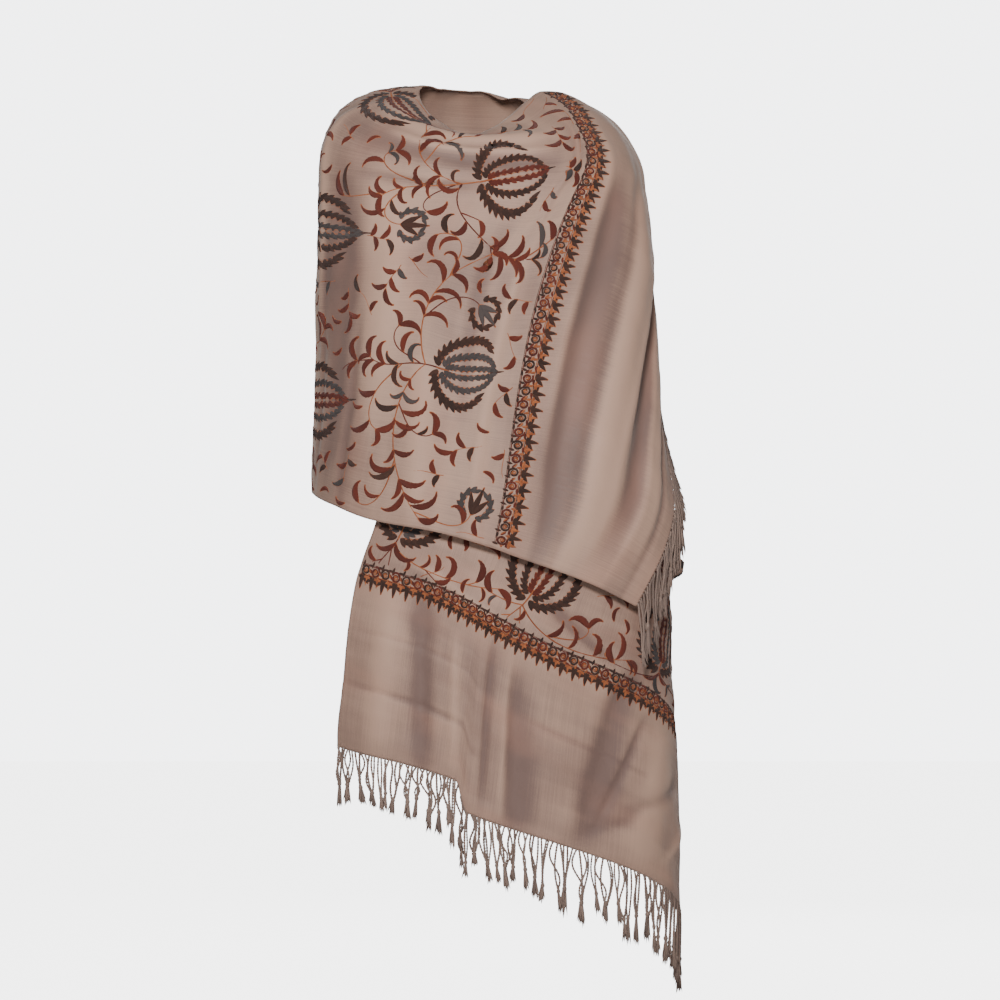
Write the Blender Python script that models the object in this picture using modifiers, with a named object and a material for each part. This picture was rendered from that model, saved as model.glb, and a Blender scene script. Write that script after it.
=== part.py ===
"""A cotton shawl as it is worn: an oblong cloth wound once round the shoulders.

The cloth is one long strip with a fringe at each short end.  It is described by two
distances measured on the flat cloth: "along" runs from the falling end's fringe edge to
the thrown end's, and "across" runs from the top selvage to the hem selvage.  CROSS_LINES
says where lines across the cloth lie on the draped form, and every piece is a stretch of
that one surface, made a wall by Solidify.

Units are metres, +Z is up and -Y is the front.  +X is to the right of someone looking at
the front.  The origin lies on the shoulder line, midway between the shoulders.
"""

from collections import namedtuple

import bmesh
import bpy
import numpy as np

# The flat cloth
CLOTH_LENGTH = 2.00
CLOTH_WIDTH = 0.70
WALL = 0.0018
FRINGE_LENGTH = 0.086
HEADING = 0.008            # woven strip that carries the fringe, at each short end
SEAM_GAP = 0.0004          # between two stretches of the cloth
HEADING_GAP = 0.0006       # between the cloth and a heading
SEAM_EDGE = 0.0015         # a narrow cell beside each seam keeps its cut square
LAYER_GAP = 0.016          # the falling end lies this far under the thrown end

# Neck opening: an ellipse, high at the nape and low in front
NECK_CENTRE_X = -0.020
NECK_CENTRE_Y = 0.005
NECK_HALF_WIDTH = 0.072
NECK_HALF_DEPTH = 0.062
NECK_HEIGHT = -0.020
NECK_FRONT_DROP = 0.036
NECK_SIDE_RISE = 0.028

# Shoulders: a quarter arc from the neck opening out and down to this height
SHOULDER_HEIGHT = -0.13
SHOULDER_ROUNDNESS = 2.1
LEFT_SHOULDER_SQUARENESS = 1.2
PLAN_ROUNDNESS = 2.3

# The hanging cloth from above: half widths to each side and half depths, by height
Section = namedtuple("Section", "height left right front back")
FORM = (
    Section(-0.13, 0.2310, 0.2200, 0.122, 0.115),
    Section(-0.25, 0.2315, 0.2330, 0.134, 0.121),
    Section(-0.36, 0.2330, 0.2370, 0.138, 0.120),
    Section(-0.45, 0.2360, 0.2450, 0.140, 0.120),
    Section(-0.51, 0.2390, 0.2570, 0.143, 0.122),
    Section(-0.59, 0.2430, 0.2770, 0.148, 0.126),
    Section(-0.63, 0.2480, 0.2780, 0.151, 0.128),
    Section(-0.70, 0.2540, 0.2740, 0.154, 0.132),
    Section(-0.78, 0.2560, 0.2760, 0.158, 0.134),
    Section(-0.95, 0.2560, 0.2850, 0.160, 0.134),
    Section(-1.05, 0.2560, 0.2890, 0.160, 0.134),
    Section(-1.20, 0.2560, 0.2860, 0.155, 0.134),
)

# Lines across the cloth.  "turn" is the bearing in degrees, 0 in front and 90 at the right
# side.  "level" is 0 at the neck opening and the height itself below the shoulders.
ACROSS = (0.0, 0.12, 0.36, CLOTH_WIDTH)
CrossLine = namedtuple(
    "CrossLine",
    "along top_turn top_level upper_turn upper_level lower_turn lower_level hem_turn hem_level",
)
CROSS_LINES = (
    CrossLine(0.00, -53.6, -0.901, -25, -0.924, 14, -0.982, 92, -1.110),
    CrossLine(0.24, -45, -0.671, -18, -0.700, 21, -0.793, 100, -0.925),
    CrossLine(0.283, -43, -0.647, -16, -0.678, 24, -0.770, 103, -0.895),
    CrossLine(0.50, -26.5, -0.458, -3, -0.515, 38, -0.630, 112, -0.790),
    CrossLine(0.65, -10, -0.275, 12, -0.360, 58, -0.500, 120, -0.725),
    CrossLine(0.80, 14, -0.090, 42, -0.150, 92, -0.370, 134, -0.690),
    CrossLine(0.88, 60, -0.006, 75, -0.080, 118, -0.320, 146, -0.672),
    CrossLine(0.95, 120, 0.000, 125, -0.078, 145, -0.305, 158, -0.660),
    CrossLine(1.05, 178, 0.000, 178, -0.080, 183, -0.290, 183, -0.620),
    CrossLine(1.19, 232, 0.000, 230, -0.075, 228, -0.265, 226, -0.568),
    CrossLine(1.335, 290, 0.000, 284, -0.070, 275, -0.250, 269, -0.550),
    CrossLine(1.44, 328, 0.000, 323, -0.075, 317, -0.250, 300, -0.566),
    CrossLine(1.53, 368, 0.000, 357, -0.085, 339, -0.250, 322, -0.589),
    CrossLine(1.62, 400, 0.000, 391, -0.085, 361.2, -0.270, 345, -0.606),
    CrossLine(1.716, 455, -0.012, 410, -0.062, 379, -0.265, 362.5, -0.628),
    CrossLine(1.76, 463, -0.028, 420, -0.068, 390.5, -0.250, 368, -0.638),
    CrossLine(1.88, 482, -0.060, 465, -0.125, 433, -0.310, 387, -0.670),
    CrossLine(2.00, 500, -0.120, 487, -0.215, 458, -0.395, 406.5, -0.708),
)
UNDER_LAYER_END = 1.06     # up to here the cloth lies under the thrown end
UNDER_TURN = (142.0, 170.0)  # and comes out from under it between these bearings

# The lap in the falling end, where its lower edge steps down
LAP_ACROSS = 0.215
LAP_RUN = 0.020
LAP_DROP = 0.040
LAP_DEPTH = 0.010
LAP_RECOVERY = 0.060
LAP_REACH = 0.26

# Large soft folds: a ridge (lift > 0) or trough from a start to an end on the flat cloth,
# with its own half width on the side towards the top selvage and towards the hem
Fold = namedtuple("Fold", "along across end_along end_across before after lift")
FOLDS = (
    # falling end: a fan of troughs and ridges
    Fold(0.24, 0.110, 0.00, 0.145, 0.016, 0.020, -0.006),
    Fold(0.26, 0.060, 0.00, 0.070, 0.020, 0.022, 0.004),
    Fold(0.20, 0.300, 0.00, 0.330, 0.018, 0.026, -0.006),
    Fold(0.30, 0.470, 0.02, 0.420, 0.016, 0.022, -0.007),
    Fold(0.22, 0.560, 0.02, 0.500, 0.024, 0.030, 0.005),
    # right side and back: cloth that the turn gathers
    Fold(0.63, 0.560, 0.61, 0.590, 0.028, 0.028, 0.014),
    Fold(0.80, 0.250, 0.64, 0.700, 0.030, 0.030, -0.010),
    Fold(0.88, 0.350, 0.76, 0.700, 0.026, 0.030, 0.005),
    Fold(0.95, 0.200, 0.90, 0.700, 0.030, 0.030, -0.007),
    Fold(1.08, 0.150, 1.06, 0.700, 0.040, 0.040, 0.006),
    Fold(1.20, 0.120, 1.17, 0.700, 0.030, 0.034, -0.007),
    Fold(1.30, 0.180, 1.29, 0.700, 0.026, 0.030, 0.005),
    # front: swags below the neck, then folds that fall from the left shoulder
    Fold(1.36, 0.050, 1.64, 0.075, 0.016, 0.018, 0.006),
    Fold(1.38, 0.110, 1.62, 0.140, 0.018, 0.022, -0.004),
    Fold(1.39, 0.160, 1.42, 0.640, 0.022, 0.026, -0.006),
    Fold(1.46, 0.220, 1.50, 0.600, 0.024, 0.028, 0.004),
    # thrown end: long folds that fall from the shoulder
    Fold(1.79, 0.200, 1.80, 0.660, 0.018, 0.024, -0.009),
    Fold(1.84, 0.200, 1.85, 0.660, 0.022, 0.026, 0.007),
    Fold(1.90, 0.160, 1.90, 0.620, 0.020, 0.024, -0.009),
    Fold(1.95, 0.200, 1.94, 0.620, 0.020, 0.024, 0.005),
)

# Stretches of the cloth, one to a piece: where it starts and ends along the cloth, and
# how many cells it has along it.  All share the same lines across, so seams stay even.
Stretch = namedtuple("Stretch", "name start end cells_along colour")
STRETCHES = (
    Stretch("falling_end", HEADING, 0.50, 20, (0.330, 0.235, 0.187)),
    Stretch("right_shoulder_turn", 0.50, 0.92, 14, (0.370, 0.270, 0.215)),
    Stretch("back_stretch", 0.92, 1.19, 10, (0.350, 0.255, 0.205)),
    Stretch("left_shoulder_turn", 1.19, 1.44, 12, (0.390, 0.285, 0.230)),
    Stretch("front_wrap", 1.44, 1.71, 14, (0.434, 0.328, 0.262)),
    Stretch("thrown_end", 1.71, CLOTH_LENGTH - HEADING, 15, (0.400, 0.310, 0.250)),
)
SEAMS = (0.50, 0.92, 1.19, 1.44, 1.71)
CELLS_ACROSS = 22

# Fringes: the heading strip's place along the cloth and the strands that leave it
Fringe = namedtuple("Fringe", "name free_edge cloth_edge strands sweep settle colour")
FRINGES = (
    Fringe("falling_end_fringe", 0.0, HEADING - HEADING_GAP, 64, 0.006, 0.0,
           (0.250, 0.175, 0.140)),
    Fringe("thrown_end_fringe", CLOTH_LENGTH, CLOTH_LENGTH - HEADING + HEADING_GAP, 44,
           0.005, -0.002, (0.290, 0.205, 0.160)),
)
STRAND_TAPER = 0.45
STRAND_JOINTS = (0.2, 0.6, 1.0)     # shares of the fringe length where a strand bends
STRAND_PACES = 10                   # steps in which it is followed down
STRAND_SWAY = 0.4                   # degrees

COTTON_ROUGHNESS = 0.85
STEP = 1e-4                # for slopes measured on the surface


def smooth(knots, values, at):
    """Cubic through the values that doesn't overshoot between them."""
    knots, values, at = (np.asarray(item, dtype=float) for item in (knots, values, at))
    steps = np.diff(knots)
    rises = np.diff(values) / steps
    slopes = np.concatenate(([rises[0]], np.zeros(len(rises) - 1), [rises[-1]]))
    same_way = rises[:-1] * rises[1:] > 0
    pair = np.where(same_way, rises[:-1] + rises[1:], 1.0)
    slopes[1:-1] = np.where(same_way, 2 * rises[:-1] * rises[1:] / pair, 0.0)
    cell = np.clip(np.searchsorted(knots, at, side="right") - 1, 0, len(steps) - 1)
    run = steps[cell]
    t = (at - knots[cell]) / run
    return (values[cell] * (1 + 2 * t) * (1 - t) ** 2
            + values[cell + 1] * t ** 2 * (3 - 2 * t)
            + slopes[cell] * run * t * (1 - t) ** 2
            - slopes[cell + 1] * run * t ** 2 * (1 - t))


def ease(t):
    """0 below 0, 1 above 1 and a smooth rise between."""
    t = np.clip(t, 0.0, 1.0)
    return t * t * (3 - 2 * t)


def rounded(sine, cosine, roundness):
    """Factor that squares up a circle: 2 keeps it, more makes it boxier."""
    return (np.abs(sine) ** roundness + np.abs(cosine) ** roundness) ** (-1 / roundness)


def hanging_point(turn, height):
    """x and y of the hanging cloth at a bearing and a height."""
    heights = [-row.height for row in FORM]
    half = {side: smooth(heights, [getattr(row, side) for row in FORM], -height)
            for side in ("left", "right", "front", "back")}
    sine, cosine = np.sin(np.radians(turn)), np.cos(np.radians(turn))
    factor = rounded(sine, cosine, PLAN_ROUNDNESS)
    half_width = np.where(sine < 0, half["left"], half["right"])
    half_depth = np.where(cosine > 0, half["front"], half["back"])
    return half_width * sine * factor, -half_depth * cosine * factor


def form_point(turn, level):
    """Point of the draped form at a bearing and a level, as arrays of x, y, z."""
    turn, level = np.broadcast_arrays(np.asarray(turn, float), np.asarray(level, float))
    sine, cosine = np.sin(np.radians(turn)), np.cos(np.radians(turn))
    x, y = hanging_point(turn, np.minimum(level, SHOULDER_HEIGHT))
    neck_x = NECK_CENTRE_X + NECK_HALF_WIDTH * sine
    neck_y = NECK_CENTRE_Y - NECK_HALF_DEPTH * cosine
    neck_z = NECK_HEIGHT - NECK_FRONT_DROP * cosine + NECK_SIDE_RISE * sine ** 2
    arc = np.pi / 2 * np.clip(level / SHOULDER_HEIGHT, -1.0, 1.0)
    roundness = SHOULDER_ROUNDNESS + LEFT_SHOULDER_SQUARENESS * np.clip(-sine, 0, 1) ** 2
    factor = rounded(np.sin(arc), np.cos(arc), roundness)
    out, up = np.sin(arc) * factor, np.cos(arc) * factor
    z = np.where(level < SHOULDER_HEIGHT, level,
                 SHOULDER_HEIGHT + (neck_z - SHOULDER_HEIGHT) * up)
    return np.stack((neck_x + (x - neck_x) * out, neck_y + (y - neck_y) * out, z), axis=-1)


def form_normal(turn, level):
    """Unit normal of the draped form, pointing away from the wearer."""
    slope_turn = form_point(turn + 1.0, level) - form_point(turn - 1.0, level)
    slope_level = form_point(turn, level + STEP) - form_point(turn, level - STEP)
    normal = np.cross(slope_turn, slope_level)
    return normal / np.linalg.norm(normal, axis=-1, keepdims=True)


def fold_lift(along, across):
    """How far the folds raise or sink the cloth."""
    lift = np.zeros(np.broadcast(along, across).shape)
    for fold in FOLDS:
        run = np.array([fold.end_along - fold.along, fold.end_across - fold.across])
        length = np.linalg.norm(run)
        run /= length
        off = np.stack(np.broadcast_arrays(along - fold.along, across - fold.across), -1)
        share = off @ run / length
        aside = off @ np.array([-run[1], run[0]])
        half = np.where(aside * np.sign(run[0] - run[1]) < 0, fold.before, fold.after)
        ends = ease((share + 0.15) / 0.4) * ease((1.15 - share) / 0.4)
        lift += fold.lift * np.exp(-(aside / half) ** 2) * ends
    return lift


def cloth_place(along, across):
    """Bearing, level and lift of the worn cloth, from its place on the flat cloth."""
    along, across = np.broadcast_arrays(np.asarray(along, float), np.asarray(across, float))
    knots = [row.along for row in CROSS_LINES]
    turns = np.stack([smooth(knots, [getattr(row, place + "_turn") for row in CROSS_LINES],
                             along) for place in ("top", "upper", "lower", "hem")])
    levels = np.stack([smooth(knots, [getattr(row, place + "_level") for row in CROSS_LINES],
                              along) for place in ("top", "upper", "lower", "hem")])
    turn, level = np.empty(along.shape), np.empty(along.shape)
    for index in np.ndindex(along.shape):
        turn[index] = smooth(ACROSS, turns[(slice(None), *index)], across[index])
        level[index] = smooth(ACROSS, levels[(slice(None), *index)], across[index])

    lap = ease((LAP_REACH - along) / LAP_REACH)
    past_lap = np.clip(across - LAP_ACROSS, 0, None)
    level = level - LAP_DROP * lap * ease(past_lap / LAP_RUN)
    lap_lift = -LAP_DEPTH * lap * ease(past_lap / LAP_RUN) * np.exp(-past_lap / LAP_RECOVERY)

    under = np.where(along < UNDER_LAYER_END,
                     ease((UNDER_TURN[1] - turn) / (UNDER_TURN[1] - UNDER_TURN[0])), 0.0)
    return turn, level, fold_lift(along, across) + lap_lift - LAYER_GAP * under


def lifted_point(turn, level, lift):
    """Point of the draped form moved out from it."""
    return form_point(turn, level) + np.asarray(lift)[..., None] * form_normal(turn, level)


def cloth_point(along, across):
    """Point of the worn cloth, from its place on the flat cloth."""
    return lifted_point(*cloth_place(along, across))


def cloth_material(name, colour):
    """A matt cotton."""
    material = bpy.data.materials.new(name)
    material.use_nodes = True
    shader = material.node_tree.nodes["Principled BSDF"]
    shader.inputs["Base Color"].default_value = (*colour, 1.0)
    shader.inputs["Roughness"].default_value = COTTON_ROUGHNESS
    shader.inputs["Metallic"].default_value = 0.0
    return material


def across_lines():
    """Places across the cloth: closer together over the shoulders and at the lap."""
    even = np.linspace(0.0, 1.0, CELLS_ACROSS + 1)
    lines = CLOTH_WIDTH * (0.75 * even + 0.25 * even ** 2)
    return np.union1d(lines, LAP_ACROSS + LAP_RUN * np.array([0.0, 0.5, 1.0]))


def along_lines(stretch, acrosses):
    """Rows along a stretch.  Its ends keep half a seam gap clear, in real distance."""
    ends = []
    for end, inward in ((stretch.start, 1), (stretch.end, -1)):
        speed = np.linalg.norm(cloth_point(end + STEP, acrosses)
                               - cloth_point(end - STEP, acrosses), axis=-1) / (2 * STEP)
        cut = end + inward * (SEAM_GAP / 2 / speed if end in SEAMS else 0 * speed)
        ends.append((cut, cut + inward * SEAM_EDGE / speed))
    (start, start_edge), (finish, finish_edge) = ends
    shares = np.linspace(0.0, 1.0, stretch.cells_along + 1)[:, None]
    inner = start_edge + (finish_edge - start_edge) * shares
    return np.vstack((start, inner, finish))


def open_sheet(name, points):
    """Open mesh through rows of points, facing outwards."""
    rows, columns = points.shape[:2]
    numbers = np.arange(rows * columns).reshape(rows, columns)
    faces = np.stack((numbers[:-1, :-1], numbers[:-1, 1:], numbers[1:, 1:], numbers[1:, :-1]),
                     axis=-1).reshape(-1, 4).tolist()
    mesh = bpy.data.meshes.new(name)
    mesh.from_pydata(points.reshape(-1, 3).tolist(), [], faces)
    mesh.update()
    return mesh


def wall_object(name, mesh, colour, collection):
    """Object whose open mesh is given the cloth's thickness, inwards."""
    mesh.materials.append(cloth_material(name + "_cotton", colour))
    piece = bpy.data.objects.new(name, mesh)
    collection.objects.link(piece)
    wall = piece.modifiers.new("Wall", "SOLIDIFY")
    wall.thickness = WALL
    wall.offset = -1.0
    mesh.shade_smooth()
    return piece


def add_stretch(stretch, collection):
    """One stretch of the cloth, a wall that stops short of its seams."""
    acrosses = across_lines()
    mesh = open_sheet(stretch.name, cloth_point(along_lines(stretch, acrosses), acrosses))
    return wall_object(stretch.name, mesh, stretch.colour, collection)


def strand_joints(fringe, across, number):
    """Where a strand bends: it sweeps off the free edge, then hangs down the form."""
    away_from_cloth = np.sign(fringe.free_edge - fringe.cloth_edge)
    turn, level, lift = cloth_place(fringe.free_edge + away_from_cloth * fringe.sweep, across)
    turn = turn + STRAND_SWAY * np.sin(2.4 * number)
    hung, joints = 0.0, []
    pace = FRINGE_LENGTH / STRAND_PACES
    for share in STRAND_JOINTS:
        while hung < share * FRINGE_LENGTH - STEP:
            slope = form_point(turn, level + STEP) - form_point(turn, level - STEP)
            level = level - pace * 2 * STEP / np.linalg.norm(slope)
            hung += pace
        joints.append(lifted_point(turn, level, lift + fringe.settle * share))
    return joints


def add_fringe(fringe, collection):
    """Heading strip with its strands drawn out of every second cell of its free edge."""
    edges = np.sort([fringe.free_edge, fringe.cloth_edge])
    acrosses = np.linspace(0.0, CLOTH_WIDTH, 2 * fringe.strands + 1)
    cloth_lines = across_lines()
    corners = cloth_point(edges[:, None], cloth_lines)
    points = np.array([[[np.interp(across, cloth_lines, corners[row, :, axis])
                         for axis in range(3)] for across in acrosses] for row in (0, 1)])
    strip = wall_object(fringe.name, open_sheet(fringe.name, points), fringe.colour, collection)
    depsgraph = bpy.context.evaluated_depsgraph_get()
    mesh = bpy.data.meshes.new_from_object(strip.evaluated_get(depsgraph))
    strip.modifiers.clear()
    strip.data = mesh

    row = 0 if fringe.free_edge < fringe.cloth_edge else 1
    count = len(acrosses)
    body = bmesh.new()
    body.from_mesh(mesh)
    body.verts.ensure_lookup_table()
    for number in range(fringe.strands):
        left, right = row * count + 2 * number, row * count + 2 * number + 1
        corners = {left, right, left + 2 * count, right + 2 * count}
        root_face = next(face for face in body.verts[left].link_faces
                         if {vert.index for vert in face.verts} == corners)
        draw_strand(body, root_face, fringe, (acrosses[2 * number] + acrosses[2 * number + 1]) / 2,
                    number)
        body.verts.ensure_lookup_table()
    body.to_mesh(mesh)
    body.free()
    return strip


def draw_strand(body, face, fringe, across, number):
    """Extrude one face of the heading along a strand's path, narrowing it at once."""
    centre = np.array(face.calc_center_median())
    edge_way = cloth_point(fringe.free_edge, across + STEP) - cloth_point(fringe.free_edge, across)
    edge_way /= np.linalg.norm(edge_way)
    narrow = [(np.array(vert.co) - centre) for vert in face.verts]
    narrow = [off - edge_way * (off @ edge_way) * (1 - STRAND_TAPER) for off in narrow]
    for joint in strand_joints(fringe, across, number):
        face = bmesh.ops.extrude_discrete_faces(body, faces=[face])["faces"][0]
        for vert, off in zip(face.verts, narrow):
            vert.co = joint + off


def main():
    """Clear the scene and build the shawl in its own collection."""
    for old in list(bpy.data.objects):
        bpy.data.objects.remove(old)
    collection = bpy.data.collections.new("Cotton shawl")
    bpy.context.scene.collection.children.link(collection)
    for stretch in STRETCHES:
        add_stretch(stretch, collection)
    for fringe in FRINGES:
        add_fringe(fringe, collection)


main()
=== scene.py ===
"""Looks of a cotton shawl as it is worn: an oblong cloth wound once round the shoulders.

A place on the cloth is given by two distances measured on the flat cloth: "along" runs from
the falling end's fringe edge to the thrown end's, and "across" from the top selvage to the
hem selvage.  Drape carries such a place to the worn form, WornCloth samples it on one fine
grid, and the sheets, the fringes and the embroidery are all laid on that grid.

Units are metres, +Z is up and -Y is the front.
"""

from __future__ import annotations

import logging
from dataclasses import dataclass, field
from enum import Enum
from typing import NamedTuple

import bpy
import numpy as np
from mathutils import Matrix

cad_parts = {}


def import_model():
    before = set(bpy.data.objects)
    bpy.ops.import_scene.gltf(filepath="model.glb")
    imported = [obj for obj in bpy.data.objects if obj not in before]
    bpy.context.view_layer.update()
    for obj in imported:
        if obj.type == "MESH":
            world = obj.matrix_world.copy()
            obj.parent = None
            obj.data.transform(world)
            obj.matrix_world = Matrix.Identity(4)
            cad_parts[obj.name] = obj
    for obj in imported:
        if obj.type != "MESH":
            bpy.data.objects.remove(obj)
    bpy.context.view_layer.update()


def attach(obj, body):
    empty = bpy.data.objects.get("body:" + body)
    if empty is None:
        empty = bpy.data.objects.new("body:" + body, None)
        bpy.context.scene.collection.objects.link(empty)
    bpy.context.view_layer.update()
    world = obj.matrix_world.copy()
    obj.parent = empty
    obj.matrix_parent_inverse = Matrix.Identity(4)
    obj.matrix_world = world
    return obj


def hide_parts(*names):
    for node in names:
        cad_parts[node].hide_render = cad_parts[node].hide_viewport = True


LOG = logging.getLogger("cotton_shawl")
BODY = "root"
CLOTH_LENGTH = 2.00
CLOTH_WIDTH = 0.70
STEP = 1e-4
Array = np.ndarray


class Section(NamedTuple):
    """Half widths and half depths of the hanging cloth at one height."""

    height: float
    left: float
    right: float
    front: float
    back: float


class CrossLine(NamedTuple):
    """A line across the cloth on the worn form: bearings in degrees, levels in metres."""

    along: float
    top_turn: float
    top_level: float
    upper_turn: float
    upper_level: float
    lower_turn: float
    lower_level: float
    hem_turn: float
    hem_level: float


class Wave(NamedTuple):
    """A layer of small waves on the flat cloth."""

    height: float
    slant: float
    squash: float
    spacing: float
    seed: int


class Fold(NamedTuple):
    """A ridge (lift > 0) or trough on the flat cloth, with a half width on either side."""

    along: float
    across: float
    end_along: float
    end_across: float
    before: float
    after: float
    lift: float


FORM = tuple(Section(*row) for row in (
    (-0.13, 0.2310, 0.2200, 0.122, 0.115),
    (-0.25, 0.2315, 0.2330, 0.134, 0.121),
    (-0.36, 0.2330, 0.2370, 0.138, 0.120),
    (-0.45, 0.2360, 0.2450, 0.140, 0.120),
    (-0.51, 0.2390, 0.2570, 0.143, 0.122),
    (-0.59, 0.2430, 0.2770, 0.148, 0.126),
    (-0.63, 0.2480, 0.2780, 0.151, 0.128),
    (-0.70, 0.2540, 0.2740, 0.154, 0.132),
    (-0.78, 0.2560, 0.2760, 0.158, 0.134),
    (-0.95, 0.2560, 0.2850, 0.160, 0.134),
    (-1.05, 0.2560, 0.2890, 0.160, 0.134),
    (-1.20, 0.2560, 0.2860, 0.155, 0.134),
))
# how far across the cloth the four places of every cross line lie
ACROSS = (0.0, 0.12, 0.36, CLOTH_WIDTH)
CROSS_LINES = tuple(CrossLine(*row) for row in (
    (0.00, -53.6, -0.901, -25, -0.924, 14, -0.982, 92, -1.110),
    (0.24, -45, -0.671, -18, -0.700, 21, -0.793, 100, -0.925),
    (0.283, -43, -0.647, -16, -0.678, 24, -0.770, 103, -0.895),
    (0.50, -26.5, -0.458, -3, -0.515, 38, -0.630, 112, -0.790),
    (0.65, -10, -0.275, 12, -0.360, 58, -0.500, 120, -0.725),
    (0.80, 14, -0.090, 42, -0.150, 92, -0.370, 134, -0.690),
    (0.88, 60, -0.006, 75, -0.080, 118, -0.320, 146, -0.672),
    (0.95, 120, 0.000, 125, -0.078, 145, -0.305, 158, -0.660),
    (1.05, 178, 0.000, 178, -0.080, 183, -0.290, 183, -0.620),
    (1.19, 232, 0.000, 230, -0.075, 228, -0.265, 226, -0.568),
    (1.335, 290, 0.000, 284, -0.070, 275, -0.250, 269, -0.550),
    (1.44, 328, 0.000, 323, -0.075, 317, -0.250, 300, -0.566),
    (1.53, 368, 0.000, 357, -0.085, 339, -0.250, 322, -0.589),
    (1.62, 400, 0.000, 391, -0.085, 361.2, -0.270, 345, -0.606),
    (1.716, 455, -0.012, 410, -0.062, 379, -0.265, 362.5, -0.628),
    (1.76, 463, -0.028, 420, -0.068, 390.5, -0.250, 368, -0.638),
    (1.88, 482, -0.060, 465, -0.125, 433, -0.310, 387, -0.670),
    (2.00, 500, -0.120, 487, -0.215, 458, -0.395, 406.5, -0.708),
))
WAVES = (
    Wave(0.0016, 0.25, 0.4, 0.055, 3),
    Wave(0.0010, -0.4, 1.0, 0.034, 5),
    Wave(0.0003, 0.0, 1.0, 0.016, 8),
)
MAIN_FOLDS = tuple(Fold(*row) for row in (
    # falling end: a fan of troughs and ridges
    (0.24, 0.110, 0.00, 0.145, 0.016, 0.020, -0.006),
    (0.26, 0.060, 0.00, 0.070, 0.020, 0.022, 0.004),
    (0.20, 0.300, 0.00, 0.330, 0.018, 0.026, -0.006),
    (0.30, 0.470, 0.02, 0.420, 0.016, 0.022, -0.007),
    (0.22, 0.560, 0.02, 0.500, 0.024, 0.030, 0.005),
    # right side and back: cloth that the turn gathers
    (0.63, 0.560, 0.61, 0.590, 0.028, 0.028, 0.014),
    (0.80, 0.250, 0.64, 0.700, 0.030, 0.030, -0.010),
    (0.88, 0.350, 0.76, 0.700, 0.026, 0.030, 0.005),
    (0.95, 0.200, 0.90, 0.700, 0.030, 0.030, -0.007),
    (1.08, 0.150, 1.06, 0.700, 0.040, 0.040, 0.006),
    (1.20, 0.120, 1.17, 0.700, 0.030, 0.034, -0.007),
    (1.30, 0.180, 1.29, 0.700, 0.026, 0.030, 0.005),
    # front: swags below the neck, then folds that fall from the left shoulder
    (1.36, 0.050, 1.64, 0.075, 0.016, 0.018, 0.006),
    (1.38, 0.110, 1.62, 0.140, 0.018, 0.022, -0.004),
    (1.39, 0.160, 1.42, 0.640, 0.022, 0.026, -0.006),
    (1.46, 0.220, 1.50, 0.600, 0.024, 0.028, 0.004),
    # thrown end: long folds that fall from the shoulder
    (1.782, 0.200, 1.797, 0.660, 0.015, 0.018, -0.009),
    (1.84, 0.200, 1.85, 0.660, 0.022, 0.026, 0.007),
    (1.90, 0.160, 1.90, 0.620, 0.020, 0.024, -0.009),
    (1.95, 0.200, 1.94, 0.620, 0.020, 0.024, 0.005),
))
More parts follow.
